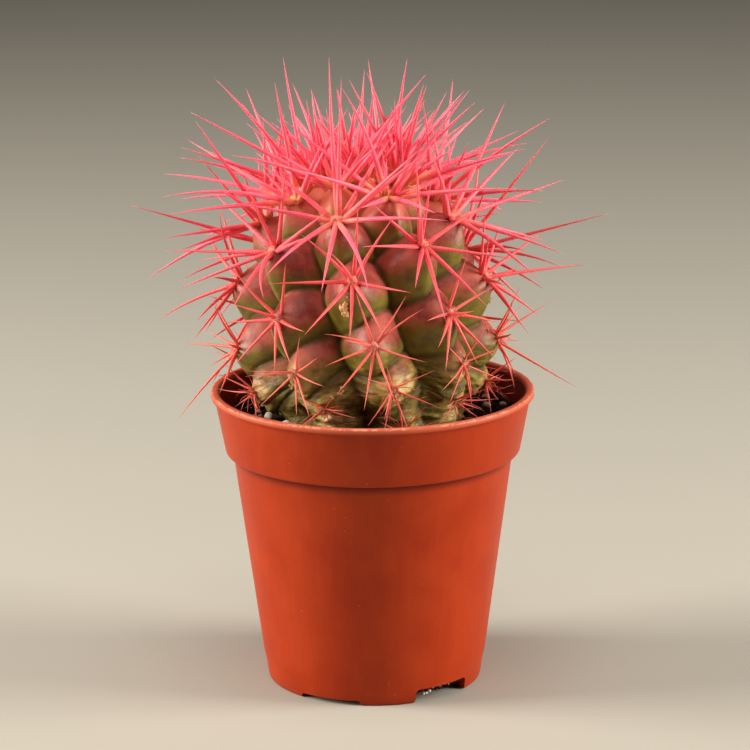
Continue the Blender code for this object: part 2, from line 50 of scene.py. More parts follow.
# Camera, as it stood for the photograph
CAMERA_PLACE = (0.0, -561.24 * MM, 196.52 * MM)
CAMERA_PITCH = math.radians(14.346)
CAMERA_YAW = math.radians(0.046)
CAMERA_ROLL = math.radians(-0.4526)
CAMERA_LENS = 163.46
CAMERA_SENSOR = 36.0
CAMERA_CLIP = (0.01, 50.0)

# Pot
POT_HEIGHT = 50.8 * MM
LIP_RADIUS = 27.5 * MM
LIP_DEPTH = 1.1 * MM
COLLAR_TOP_RADIUS = 26.9 * MM
COLLAR_BOTTOM_RADIUS = 25.1 * MM
COLLAR_BOTTOM = 40.2 * MM
COLLAR_SLOPE_HEIGHT = 0.9 * MM
COLLAR_SLOPE = 0.189
WALL_TOP_RADIUS = 23.9 * MM
WALL_BOTTOM_RADIUS = 19.15 * MM
LEDGE_HEIGHT = 4.8 * MM
LEDGE_STEP = 0.35 * MM
LEDGE_EASE = 1.5 * MM
FOOT_RADIUS = 18.3 * MM
WALL = 0.8 * MM
BASE_TOP = 1.8 * MM
BASE_BOTTOM = 0.8 * MM
BASE_MIDDLE = 0.4 * FOOT_RADIUS
POT_COLUMNS = 288
POT_SHARP_ANGLE = math.radians(40.0)
FILLET_STEPS = 5

# Drain notches, a deep pair and a shallow one: angle from the front, and height
NOTCHES = ((39.0, 2.4 * MM), (219.0, 2.4 * MM), (-25.0, 0.85 * MM), (155.0, 0.85 * MM))
NOTCH_WIDTH = 11.0 * MM
NOTCH_REACH = 4.6 * MM
NOTCH_RADIUS = 17.8 * MM
NOTCH_BELOW = 1.0 * MM
NOTCH_ROUNDING = 0.8 * MM
NOTCH_ROUNDING_SHARE = 0.6
NOTCH_CORNER_STEPS = 5

# Soil
SOIL_LEVEL = 46.1 * MM
SOIL_RISE = 1.2 * MM
SOIL_RISE_CENTRE = (-15.0 * MM, -11.0 * MM)
SOIL_RISE_SPREAD = 8.0 * MM
SOIL_UNEVENNESS = 0.18 * MM
SOIL_RIPPLES = (2.1 * MM, 2.6 * MM, 3.7 * MM)
SOIL_RIPPLE_SHIFT = 1.3
SOIL_COLUMNS = 256
SOIL_TOP_RINGS = 84
SOIL_MIDDLE = 0.2 * MM
SOIL_GAP = 0.1 * MM
CRUMBLE_SIZE = 1.5 * MM
CRUMBLE_DEPTH = 0.4 * MM
# Rings and sides of crumbs and crusts, and of grains
SMALL_LUMP = (4, 7)
GRAIN_LUMP = (9, 14)
LUMP_STRETCH = (0.7, 1.15)
CRUMB_SEED = 5
CRUMB_COUNT = 620
CRUMB_SIZES = (0.22 * MM, 0.75 * MM)
CRUMB_SIZE_POWER = 2.5
CRUMB_SINK = 0.15
CRUMB_RING_INNER = 15.0 * MM
CRUMB_ROUGHNESS = 0.22
GRAIN_COUNT = 26
GRAIN_SIZES = (0.45 * MM, 1.1 * MM)
GRAIN_SIZE_POWER = 2
GRAIN_SINK = 0.35
GRAIN_SEED = 11
GRAIN_RING_INNER = 19.0 * MM
GRAIN_RING_MARGIN = 1.8 * MM
GRAIN_SPACING = 3.0 * MM
GRAIN_DUST_COUNT = 90
GRAIN_DUST_SIZES = (0.1 * MM, 0.34 * MM)
GRAIN_DUST_RING = (17.5 * MM, 24.6 * MM)
GRAIN_DUST_SINK = 0.3
GRAIN_ROUGHNESS = 0.07
GRAIN_SOILING = (0.35, 1.0)
NOTCH_GRAIN_SOILING = 0.1
# The grains that the photograph shows: place to the right and to the back, and radius, in millimetres
GRAINS_SEEN = ((-17.3, -6.4, 1.15), (-14.4, -12.9, 1.0))

# Grains lodged in the deep drain notch at the front: bearing, and then distance from the axis, height and
# radius in millimetres. Crumbs hang in this notch and in the one opposite.
NOTCH_GRAINS = (
    (28.5, 17.3, 1.05, 0.24), (30.3, 17.35, 1.1, 0.26), (32.4, 17.3, 1.35, 0.28), (35.0, 17.2, 1.75, 0.16),
    (40.0, 17.2, 1.65, 0.14), (44.0, 17.25, 1.95, 0.24), (47.0, 17.2, 1.5, 0.12),
)
NOTCH_CRUMBS = 70
NOTCH_CRUMB_SIZES = (0.18 * MM, 0.4 * MM)
NOTCH_ARC = 16.5
NOTCH_CRUMB_RADII = (FOOT_RADIUS - 2.4 * MM, FOOT_RADIUS - WALL - 0.3 * MM)
NOTCH_CRUMB_BOTTOM = BASE_BOTTOM + 0.3 * MM
NOTCH_CRUMB_GAP = 0.1 * MM

# Body of the plant, in its own upright frame
BODY_PLACE = np.array([-1.2, 0.0, 61.1]) * MM
LEAN_BACK = math.radians(12.0)
LEAN_LEFT = math.radians(4.2)
BODY_TURN = np.array(Euler((-LEAN_BACK, -LEAN_LEFT, 0.0)).to_matrix())
BODY_RADIUS = 22.6 * MM
BODY_RISE = 25.8 * MM
BODY_DROP = 17.0 * MM
CROWN_POWER = 2.3
BELLY_POWER = 2.7
CROWN_DIP = 0.9 * MM
CROWN_DIP_RADIUS = 5.0 * MM
NECK_LATITUDE = -53.0
NECK_LENGTH = 13.0 * MM
NECK_TAPER = 0.12
ROOT_END_ARC = 14.0
SLOPE_STEP = 0.3
BODY_COLUMNS = 400
BODY_ROWS = 222
ROOT_ROWS = 14
SOIL_LATITUDE = -66.0

# Areoles: one spiral that falls into nine nearly upright columns
SPIRAL_STEP = 80.8
SPIRAL_START = -17.1
STEPS_PER_ROW = 9
# Row at which the age that colours follow is 1
OLD_ROW = 5.0
ROW_ZERO_LATITUDE = 74.7
ROW_LATITUDE = 27.7
CROWN_ROW = 0.5
FIRST_AREOLE, LAST_AREOLE = -13, 45
FIRST_MOUND, LAST_MOUND = -16, 47

# Tubercles
MOUND_DROP = 0.13
MOUND_SLOPE = 0.86
MOUND_ROUNDING = 2.4 * MM
MOUND_BLEND = 0.25 * MM
MOUND_FADE = (56.0, 70.0)

# Finer relief of the tubercles
FACET_POWER = 1.5
MOUND_WEIGHTS = (1.0, 0.86, 1.16)
CONE_ROUNDING = 1.7 * MM
CONE_SLOPE = 0.83
PILLOW_CURVE = 0.098 / MM
PILLOW_SHARE = 0.2
RELIEF_BLEND = 0.1 * MM
CREASE_WIDTH = 0.6 * MM
CREASE_DEPTH = 0.14 * MM
# Depths below the outline between which the groove of a crease sets in
CREASE_RISE = (0.3 * MM, 1.5 * MM)
CREASE_COLOR_WIDTH = 2.3 * MM
FLAT_LATITUDES = (16.0, 44.0)
FLAT_SHARE = 0.5
HEART_SIZE = 3.6 * MM
CHIN_DROP = 4.5 * MM
SWELL_SIZE = 4.0 * MM
SWELL_DEPTH = 0.14 * MM
WRINKLE_SIZE = 2.6 * MM
WRINKLE_DEPTH = 0.4 * MM
WRINKLE_STRETCH = (1.0, 1.0, 3.4)
WRINKLE_LATITUDES = (12.0, 50.0)
FOLD_SIZE = 4.4 * MM
FOLD_DEPTH = 0.8 * MM
FOLD_STRETCH = (0.8, 0.8, 2.4)
FOLD_LATITUDES = (22.0, 48.0)
# Latitude of the last ring of the body's mesh, which a fan of faces closes
GRID_END = 89.6

# Spines that the solid has too
SPINE_SEED = 4
SPINE_BASE_LENGTH = 8.8 * MM
SPINE_CROWN_EXTRA = 14.0 * MM
SPINE_CROWN_ROW = 0.3
SPINE_CROWN_SPREAD = 1.35
SPINE_WEAR_ROW = 3.3
SPINE_WEAR = 1.6 * MM
SPINE_THICK = 0.43 * MM
SPINE_THIN = 0.2 * MM
SPINE_THIN_ROWS = (1.6, 4.2)
SPINE_SINK = 1.0 * MM
SPINE_RING = 3.5
RADIAL_COUNT = 8
RADIAL_LIFT = 22.0
CENTRAL_LIFT = 62.0
CENTRALS_ABOVE_ROW = 1.9
CLOCK_SCATTER = 9.0
LIFT_SCATTER = 7.0
LENGTH_RANGE = (0.82, 1.1)
CENTRAL_CLOCK_SCATTER = 25.0
CENTRAL_LIFT_SCATTER = 13.0
CENTRAL_LENGTH_RANGE = (0.95, 1.15)
CROWN_LIFT = 25.0
CROWN_LIFT_ROW = 0.9
SPINE_MARGIN = 0.9 * MM
SPINE_SHORTEST = 2.5 * MM
SPINE_SPACE = 0.2 * MM
SPINE_CHECKS = 12
SPINE_CHECK_FROM = 2
SPINE_ROOT_SHARE = 0.1
SPINE_TRIES = 11
SPINE_TURN = 5.0
SPINE_RAISE = 1.5
SPINE_STEEPEST = 75.0
SPINE_SHORTER = 0.985
# Keeps a fraction from being divided by nothing where two spines are parallel
PARALLEL = 1e-18
REACH = (40.6 * MM, 39.0 * MM)

# Clock angles of the flat spines in the stars that face the front, in degrees from up, seen from outside
STARS = {
    9: (-90, -150, 180, 160, 75, 110, -55, 30),
    18: (-90, -50, 10, 45, 110, 155, -175, -140),
    27: (-10, 35, 55, -70, -105, -135, -165, 165, 110),
    36: (-20, 50, 110, 165, -170, -140, -50),
    14: (-95, 115, -140, -165, 160, 60, -50, 10),
    23: (15, 65, 105, 145, 165, -150, -130, -95),
    32: (5, 110, 170, -140, -110, 60, -60),
    13: (100, 140, 165, -100, -120, 75, -60, 20),
    22: (-35, -90, -140, 165, 145, 105, 35),
    31: (35, 65, 100, 155, -175, -130, -85),
    40: (60, 90, 180, -150, -120, -20, 15),
}

# Outstanding spines: clock angle and lift in degrees, length in millimetres
LONG_SPINES = {
    9: ((5, 50, 27), (15, 55, 24), (90, 45, 23)),
    5: ((-95, 60, 26), (75, 55, 22), (55, 55, 20)),
    0: ((-110, 40, 27), (-40, 55, 20), (-25, 50, 18), (75, 45, 24)),
    1: ((-65, 55, 22), (-115, 55, 23), (-95, 50, 20)),
    4: ((-110, 30, 24), (-50, 50, 23), (90, 60, 26)),
    6: ((65, 60, 26), (-100, 40, 28), (95, 45, 22)),
    10: ((40, 55, 22), (75, 35, 22), (105, 40, 23)),
    8: ((65, 45, 26), (130, 30, 20), (-40, 35, 18)),
    12: ((85, 30, 28), (50, 30, 21)),
    15: ((-45, 45, 24), (-100, 50, 26), (10, 40, 19), (-120, 30, 17)),
    14: ((-90, 60, 17), (-40, 65, 15)),
    13: ((-100, 30, 18), (20, 60, 14)),
    17: ((-135, 45, 16),),
    19: ((100, 55, 19), (65, 40, 15)),
    26: ((-165, 45, 15), (-80, 40, 11)),
    28: ((180, 60, 16), (40, 50, 12)),
}

# Spines in the finer mesh
SPINE_SIDES = 7
SPINE_RINGS = 8
SPINE_TAPER = 1.45
SPINE_STOUT = 1.32
SPINE_SLIM = 0.94
SPINE_SLIM_ROWS = (0.5, 1.9)
SPINE_RING_CLOSING = 1.3
# A direction that rises by more than this has the rings round it laid out from X instead of Z
STEEP = 0.9
SPINE_BOW = 0.045
SPINE_BOW_SCATTER = 0.5
SPINE_SHAPE_SEED = 21
SPINE_RING_WAVES = math.tau / (0.55 * MM)

# Young spines that only the finer mesh has
YOUNG_SEED = 17
YOUNG_FIRST, YOUNG_LAST = -13, 6
YOUNG_PER_AREOLE = 8
YOUNG_LIFTS = (30.0, 75.0)
YOUNG_LENGTHS = (3.5 * MM, 9.0 * MM)

# Wool
PAD_SIDES = 14
PAD_RINGS = 5
PAD_RADIUS = 0.82 * MM
PAD_HEIGHT = 0.4 * MM
PAD_FLATNESS = PAD_HEIGHT / PAD_RADIUS
PAD_OLD_SHARE = 0.7
PAD_OLD_ROWS = (2.0, 4.5)
PAD_YOUNG_SHARE = 2.3
PAD_YOUNG_ROWS = (0.2, 1.3)
PAD_TALL = 1.1
PAD_RISE = (-40.0, 74.0)
PAD_BULGE = 0.16
PAD_SINK = 0.5
HAIR_SEED = 8
HAIRS_PER_AREOLE = 70
HAIR_SIDES = 3
HAIR_RINGS = 3
HAIR_RADIUS = 0.045 * MM
HAIR_LENGTH = 0.95 * MM
HAIR_LENGTH_RANGE = (0.6, 1.25)
HAIR_BOW = 0.2
HAIR_TAPER = 0.7
HAIR_SPREAD = 0.85
HAIR_DOME = 0.8
HAIR_SPLAY = 1.6
HAIR_SCATTER = 0.35
CROWN_HAIRS = 2200
CROWN_WOOL_ARC = 15.0
CROWN_HAIR_LENGTHS = (1.2 * MM, 3.4 * MM)
CROWN_HAIR_RADIUS = 0.07 * MM
CROWN_HAIR_SCATTER = 0.55
CROWN_HAIR_AGES = (-0.15, 0.12)

# Weathered thin spines of the lowest areoles
OLD_SPINE_SEED = 29
OLD_SPINE_FIRST = 34
OLD_SPINES_PER_AREOLE = 20
OLD_SPINE_LENGTHS = (2.5 * MM, 7.5 * MM)
OLD_SPINE_RADIUS = 0.09 * MM
OLD_SPINE_REACH = 25.0 * MM
OLD_SPINE_SCATTER = 0.35 * MM
OLD_SPINE_OUTWARD = 0.7

# Crusts and scraps on the skin
CRUST_SEED = 13
CRUST_SIZE_RANGE = (0.5, 1.0)
CRUST_ROUGHNESS = 0.3
# Beside which areole, how far to the right and above it, spread to the side and up, and size, all in
# millimetres, and how many
CRUSTS = (
    (18, -1.7, -4.5, 0.2, 0.5, 0.52, 22),
    (18, -1.2, -2.2, 0.2, 0.3, 0.16, 5),
    (40, 3.2, 2.0, 0.6, 0.3, 0.32, 6),
    (19, 1.0, -3.5, 0.9, 0.5, 0.2, 6),
    (28, -1.5, 1.8, 0.5, 0.5, 0.18, 5),
    (36, 2.5, -2.0, 0.6, 0.5, 0.2, 5),
    (31, -2.5, -2.5, 0.6, 0.5, 0.2, 5),
)

# Floor and lights
FLOOR_SIZE = 6.0
FLOOR_COLOR = (0.42, 0.40, 0.37)
FLOOR_CLOUDS = 0.3
FLOOR_SHADE = 0.96
LAMP_COLOR = (1.0, 0.94, 0.80)
LAMP_TARGET = (0.0, 0.0, 0.06)
# Name, place, width and height in metres, and power in watts
LAMPS = (
    ("left_light", (-0.62, -0.03, 0.30), (0.3, 0.45), 8.1),
    ("right_light", (0.62, -0.09, 0.27), (0.3, 0.45), 6.9),
    ("top_light", (0.0, -0.15, 0.75), (0.4, 0.4), 2.7),
)
SURROUND = 0.027


# Plain arithmetic


def blend(low, high, share):
    """The value that lies this share of the way from low to high."""
    return low + (high - low) * share


def ramp(value, start, end):
    """0 before start, 1 past end, and a smooth rise between them."""
    share = np.clip((value - start) / (end - start), 0.0, 1.0)
    return share * share * (3.0 - 2.0 * share)


def unit(vectors):
    """The same directions at length one."""
    return vectors / np.linalg.norm(vectors, axis=-1, keepdims=True)


NOISE_CELLS = 32
NOISE_SEED = 3
NOISE_TABLE = np.random.default_rng(NOISE_SEED).uniform(-1.0, 1.0, (NOISE_CELLS, NOISE_CELLS, NOISE_CELLS))
# How far each octave is moved on the lattice, in cells of the first, so that they don't line up
OCTAVE_SHIFT = 7.3


def lattice_noise(points, size):
    """Smooth noise from -1 to 1: random numbers on a cubic lattice of this size, joined by smooth steps."""
    place = points / size
    low = np.floor(place).astype(int)
    share = place - low
    share = share * share * (3.0 - 2.0 * share)
    total = np.zeros(points.shape[:-1])
    for corner in range(8):
        step = np.array([corner & 1, corner >> 1 & 1, corner >> 2])
        weight = np.prod(np.where(step == 1, share, 1.0 - share), axis=-1)
        cell = (low + step) % NOISE_CELLS
        total += weight * NOISE_TABLE[cell[..., 0], cell[..., 1], cell[..., 2]]
    return total


def rough_noise(points, size, octaves=3):
    """Lattice noise in octaves: each next one is half as large and half as strong."""
    return sum(lattice_noise(points + k * size * OCTAVE_SHIFT, size / 2**k) / 2**k for k in range(octaves))


# Mesh making


def shells_mesh(name, rings, starts, ends, values=None):
    """A mesh of closed shells: each is a stack of rings from a start point to an end point.

    rings has the shape (shells, rings, sides, 3). A side of a ring joins the same side of the next ring in
    one face, and the start and end points fan to the first and last rings. values holds named numbers, which
    spread to the shape (shells, vertices of a shell).
    """
    shells, count, sides, _ = rings.shape
    per_shell = count * sides + 2
    points = np.concatenate([starts[:, None], rings.reshape(shells, -1, 3), ends[:, None]], axis=1)
    side = np.arange(sides)
    after = (side + 1) % sides
    row = 1 + np.arange(count - 1)[:, None] * sides
    quads = np.stack([row + side, row + after, row + sides + after, row + sides + side], axis=-1)
    last_row = 1 + (count - 1) * sides
    first_fan = np.stack([np.zeros(sides, int), 1 + after, 1 + side], axis=-1)
    last_fan = np.stack([np.full(sides, per_shell - 1), last_row + side, last_row + after], axis=-1)
    shift = np.arange(shells)[:, None, None] * per_shell
    quads = (quads.reshape(1, -1, 4) + shift).reshape(-1, 4)
    fans = (np.concatenate([first_fan, last_fan])[None] + shift).reshape(-1, 3)
    mesh = bpy.data.meshes.new(name)
    mesh.vertices.add(shells * per_shell)
    mesh.vertices.foreach_set("co", points.astype(np.float32).ravel())
    mesh.loops.add(quads.size + fans.size)
    mesh.loops.foreach_set("vertex_index", np.concatenate([quads.ravel(), fans.ravel()]).astype(np.int32))
    mesh.polygons.add(len(quads) + len(fans))
    quad_starts = np.arange(len(quads)) * 4
    fan_starts = quads.size + np.arange(len(fans)) * 3
    mesh.polygons.foreach_set("loop_start", np.concatenate([quad_starts, fan_starts]).astype(np.int32))
    mesh.polygons.foreach_set("use_smooth", np.ones(len(quads) + len(fans), bool))
    mesh.update(calc_edges=True)
    for label, numbers in (values or {}).items():
        layer = mesh.attributes.new(label, "FLOAT", "POINT")
        spread = np.broadcast_to(numbers, (shells, per_shell))
        layer.data.foreach_set("value", spread.astype(np.float32).ravel())
    return mesh


def add_piece(name, mesh, material, node):
    """A piece of the object, at the origin, that stands for this node."""
    piece = bpy.data.objects.new(name, mesh)
    bpy.context.scene.collection.objects.link(piece)
    piece.data.materials.append(material)
    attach(piece, "root")
    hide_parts(node)
    return piece


def circle_points(radii, heights, columns):
    """Rings round the Z axis, from the front and to the right: (one ring per radius, columns, 3)."""
    bearing = np.arange(columns) / columns * math.tau
    ahead = np.stack([np.sin(bearing), -np.cos(bearing)], axis=-1)
    flat = np.asarray(radii)[:, None, None] * ahead
    tall = np.broadcast_to(np.asarray(heights)[:, None, None], flat.shape[:2] + (1,))
    return np.concatenate([flat, tall], axis=-1)


# Shader nodes


class Finish:
    """A material with one Principled BSDF, a colour laid on in layers, and short ways to add nodes."""

    def __init__(self, name):
        self.material = bpy.data.materials.new(name)
        self.material.use_nodes = True
        self.tree = self.material.node_tree
        self.shader = self.tree.nodes["Principled BSDF"]
        self.coordinates = self.node("TexCoord", "Object", {})
        self.color = None

    def link(self, source, socket):
        """Joins an output, or sets a plain value, to an input."""
        if isinstance(source, bpy.types.NodeSocket):
            self.tree.links.new(source, socket)
        elif isinstance(source, tuple) and socket.type == "RGBA":
            socket.default_value = (*source, 1.0)
        else:
            socket.default_value = source

    def node(self, kind, output, inputs, **settings):
        """An output of a new node, whose settings are made and whose inputs are joined or set."""
        node = self.tree.nodes.new("ShaderNode" + kind)
        for label, value in settings.items():
            setattr(node, label, value)
        for socket, source in inputs.items():
            self.link(source, node.inputs[socket])
        return node.outputs[output]

    def attribute(self, label):
        """A number that the mesh holds at each vertex."""
        return self.node("Attribute", "Fac", {}, attribute_name=label)

    def stretched(self, scale, shift=(0.0, 0.0, 0.0)):
        """Object coordinates, each axis scaled by its own number and then moved."""
        inputs = {"Vector": self.coordinates, "Scale": scale, "Location": shift}
        return self.node("Mapping", "Vector", inputs)

    def height(self):
        """Height above the floor, in metres."""
        return self.node("SeparateXYZ", "Z", {"Vector": self.coordinates})

    def radius(self):
        """Distance from the pot's axis, in metres: the length of the coordinates with no height."""
        return self.node("VectorMath", "Value", {0: self.stretched((1.0, 1.0, 0.0))}, operation="LENGTH")

    def noise(self, size, detail=3.0, roughness=0.55, vector=None):
        """Noise from 0 to 1 whose patches are about this size in metres."""
        place = self.coordinates if vector is None else vector
        inputs = {"Vector": place, "Scale": 1.0 / size, "Detail": detail, "Roughness": roughness}
        return self.node("TexNoise", "Fac", inputs)

    def cells(self, size, vector=None):
        """Distance to the nearest of scattered points about this far apart, in shares of that spacing."""
        place = self.coordinates if vector is None else vector
        return self.node("TexVoronoi", "Distance", {"Vector": place, "Scale": 1.0 / size})

    def math(self, operation, first, second=0.0):
        """One operation on two numbers, or on the first alone."""
        return self.node("Math", "Value", {0: first, 1: second}, operation=operation)

    def product(self, first, *others):
        """The numbers multiplied together."""
        for other in others:
            first = self.math("MULTIPLY", first, other)
        return first

    def step(self, source, start, end, low=0.0, high=1.0):
        """Smooth rise from low at start to high at end."""
        inputs = {"Value": source, "From Min": start, "From Max": end, "To Min": low, "To Max": high}
        return self.node("MapRange", "Result", inputs, interpolation_type="SMOOTHSTEP")

    def mix(self, share, first, second):
        """Colour between two colours."""
        return self.node("Mix", 2, {"Factor": share, 6: first, 7: second}, data_type="RGBA")

    def paint(self, name, tint, *shares):
        """Lays a colour over the colour so far, in the product of these shares, and names the layer."""
        self.color = self.mix(self.product(*shares), self.color, tint)
        self.color.node.label = name

    def bump(self, height, depth, base=None):
        """Relief of this depth in metres, over another relief."""
        inputs = {"Height": height, "Distance": depth}
        if base is not None:
            inputs["Normal"] = base
        return self.node("Bump", "Normal", inputs)

    def finished(self, roughness, relief=None, values=None):
        """The material, with its colour, roughness, relief and other plain values joined to the shader."""
        inputs = {"Base Color": self.color, "Roughness": roughness, **(values or {})}
        if relief is not None:
            inputs["Normal"] = relief
        for socket, source in inputs.items():
            self.link(source, self.shader.inputs[socket])
        return self.material


# Camera, floor and lights


def set_axes(thing, right, up, back, place):
    """Puts a camera or light at a place, with these directions to its right, above it and behind it."""
    matrix = Matrix.Identity(4)
    for k, axis in enumerate((right, up, back, place)):
        for i in range(3):
            matrix[i][k] = axis[i]
    thing.matrix_world = matrix


def make_camera():
    """The camera at the photograph's place, with its directions worked out from pitch, yaw and roll."""
    lens = bpy.data.cameras.new("camera")
    lens.sensor_width = CAMERA_SENSOR
    lens.lens = CAMERA_LENS
    lens.clip_start, lens.clip_end = CAMERA_CLIP
    camera = bpy.data.objects.new("camera", lens)
    bpy.context.scene.collection.objects.link(camera)
    level = math.cos(CAMERA_PITCH)
    ahead = np.array([math.sin(CAMERA_YAW), math.cos(CAMERA_YAW), 0.0])
    side = np.array([math.cos(CAMERA_YAW), -math.sin(CAMERA_YAW), 0.0])
    forward = ahead * level + np.array([0.0, 0.0, -math.sin(CAMERA_PITCH)])
    above = np.cross(side, forward)
    right = math.cos(CAMERA_ROLL) * side + math.sin(CAMERA_ROLL) * above
    up = math.cos(CAMERA_ROLL) * above - math.sin(CAMERA_ROLL) * side
    set_axes(camera, right, up, -forward, CAMERA_PLACE)
    bpy.context.scene.camera = camera


def make_floor():
    """A plain pale floor."""
    half = FLOOR_SIZE / 2.0
    mesh = bpy.data.meshes.new("floor")
    corners = [(-half, -half, 0.0), (half, -half, 0.0), (half, half, 0.0), (-half, half, 0.0)]
    mesh.from_pydata(corners, [], [(0, 1, 2, 3)])
    floor = bpy.data.objects.new("floor", mesh)
    bpy.context.scene.collection.objects.link(floor)
    finish = Finish("floor_paper")
    shade = tuple(c * FLOOR_SHADE for c in FLOOR_COLOR)
    finish.color = finish.mix(finish.noise(FLOOR_CLOUDS), FLOOR_COLOR, shade)
    floor.data.materials.append(finish.finished(0.9))


def add_light(name, place, size, power):
    """A soft rectangular light at a place, turned to the pot."""
    lamp = bpy.data.lights.new(name, "AREA")
    lamp.shape = "RECTANGLE"
    lamp.size, lamp.size_y = size
    lamp.energy = power
    lamp.color = LAMP_COLOR
    light = bpy.data.objects.new(name, lamp)
    bpy.context.scene.collection.objects.link(light)
    back = unit(np.array(place) - np.array(LAMP_TARGET))
    right = unit(np.cross((0.0, 0.0, 1.0), back))
    set_axes(light, right, np.cross(back, right), back, place)


def make_lights():
    """Two broad soft lights from the sides, a weak one from above, and an even dim surround."""
    for name, place, size, power in LAMPS:
        add_light(name, place, size, power)
    world = bpy.data.worlds.new("surround")
    world.use_nodes = True
    world.node_tree.nodes["Background"].inputs["Color"].default_value = (1.0, 1.0, 1.0, 1.0)
    world.node_tree.nodes["Background"].inputs["Strength"].default_value = SURROUND
    bpy.context.scene.world = world
    bpy.context.scene.view_settings.view_transform = "Standard"


# Pot


def wall_radius(height):
    """Outer radius of the wall below the collar."""
    share = (height - LEDGE_HEIGHT) / (COLLAR_BOTTOM - LEDGE_HEIGHT)
    return blend(WALL_BOTTOM_RADIUS, WALL_TOP_RADIUS, share)


def rounded_outline(corners):
    """Points of an outline through (radius, height, rounding) corners.

    Each corner is cut by a curve from rounding before it to rounding after it: a parabola that touches both
    sides.
    """
    points = []
    for k, (radius, height, rounding) in enumerate(corners):
        corner = np.array([radius, height])
        if rounding == 0.0:
            points.append(corner)
            continue
        before = unit(np.array(corners[k - 1][:2]) - corner) * rounding
        after = unit(np.array(corners[k + 1][:2]) - corner) * rounding
        for share in np.linspace(0.0, 1.0, FILLET_STEPS):
            points.append(corner + before * (1.0 - share) ** 2 + after * share**2)
    return np.array(points)


def pot_outline():
    """Section of the pot, from under the base, up the outer side, over the lip and down the inside."""
    ring_inner = FOOT_RADIUS - WALL - LEDGE_STEP
    lip_base = POT_HEIGHT - LIP_DEPTH
    collar_floor = COLLAR_BOTTOM - COLLAR_SLOPE_HEIGHT
    fine, usual, broad = 0.15 * MM, 0.3 * MM, 0.45 * MM
    return rounded_outline([
        (BASE_MIDDLE, BASE_BOTTOM, 0.0),
        (ring_inner, BASE_BOTTOM, usual),
        (ring_inner, 0.0, fine),
        (FOOT_RADIUS, 0.0, broad),
        (WALL_BOTTOM_RADIUS - LEDGE_STEP, LEDGE_HEIGHT - LEDGE_EASE, LEDGE_EASE / 2.0),
        (WALL_BOTTOM_RADIUS, LEDGE_HEIGHT, LEDGE_EASE / 2.0),
        (WALL_TOP_RADIUS, COLLAR_BOTTOM, usual),
        (COLLAR_BOTTOM_RADIUS, COLLAR_BOTTOM, broad),
        (COLLAR_TOP_RADIUS, lip_base, usual),
        (LIP_RADIUS, lip_base, usual),
        (LIP_RADIUS, POT_HEIGHT, broad),
        (COLLAR_TOP_RADIUS - WALL, POT_HEIGHT, broad),
        (COLLAR_TOP_RADIUS - WALL, lip_base, fine),
        (COLLAR_BOTTOM_RADIUS - WALL, COLLAR_BOTTOM, fine),
        (wall_radius(collar_floor) - WALL, collar_floor, fine),
        (WALL_BOTTOM_RADIUS - WALL, LEDGE_HEIGHT + WALL, fine),
        (FOOT_RADIUS - WALL, BASE_TOP, usual),
        (BASE_MIDDLE, BASE_TOP, 0.0),
    ])


def notch_cutter(angle, height):
    """A block with rounded upper edges, through the foot ring at this angle from the front."""
    half = NOTCH_WIDTH / 2.0
    corner = np.radians(np.linspace(0.0, 90.0, NOTCH_CORNER_STEPS))
    rounding = min(NOTCH_ROUNDING, height * NOTCH_ROUNDING_SHARE)
    across = half - rounding + rounding * np.cos(corner)
    tall = height - rounding + rounding * np.sin(corner)
    foot = [(-half, -NOTCH_BELOW), (half, -NOTCH_BELOW)]
    section = [*foot, *zip(across, tall), *zip(-across[::-1], tall[::-1])]
    count = len(section)
    points = [(x, y * NOTCH_REACH / 2.0, z) for y in (-1.0, 1.0) for x, z in section]
    faces = [tuple(range(count)), tuple(range(2 * count - 1, count - 1, -1))]
    for k in range(count):
        after = (k + 1) % count
        faces.append((after, k, count + k, count + after))
    mesh = bpy.data.meshes.new("notch")
    mesh.from_pydata(points, [], faces)
    cutter = bpy.data.objects.new("notch", mesh)
    bpy.context.scene.collection.objects.link(cutter)
    bearing = math.radians(angle)
    cutter.location = (math.sin(bearing) * NOTCH_RADIUS, -math.cos(bearing) * NOTCH_RADIUS, 0.0)
    cutter.rotation_euler = (0.0, 0.0, bearing)
    return cutter


def cut(piece, cutters):
    """Takes the cutters out of a piece for good, and removes them."""
    for cutter in cutters:
        step = piece.modifiers.new("Cut", "BOOLEAN")
        step.operation = "DIFFERENCE"
        step.object = cutter
    bpy.context.view_layer.update()
    made = bpy.data.meshes.new_from_object(piece.evaluated_get(bpy.context.evaluated_depsgraph_get()))
    piece.modifiers.clear()
    piece.data = made
    for cutter in cutters:
        bpy.data.objects.remove(cutter, do_unlink=True)


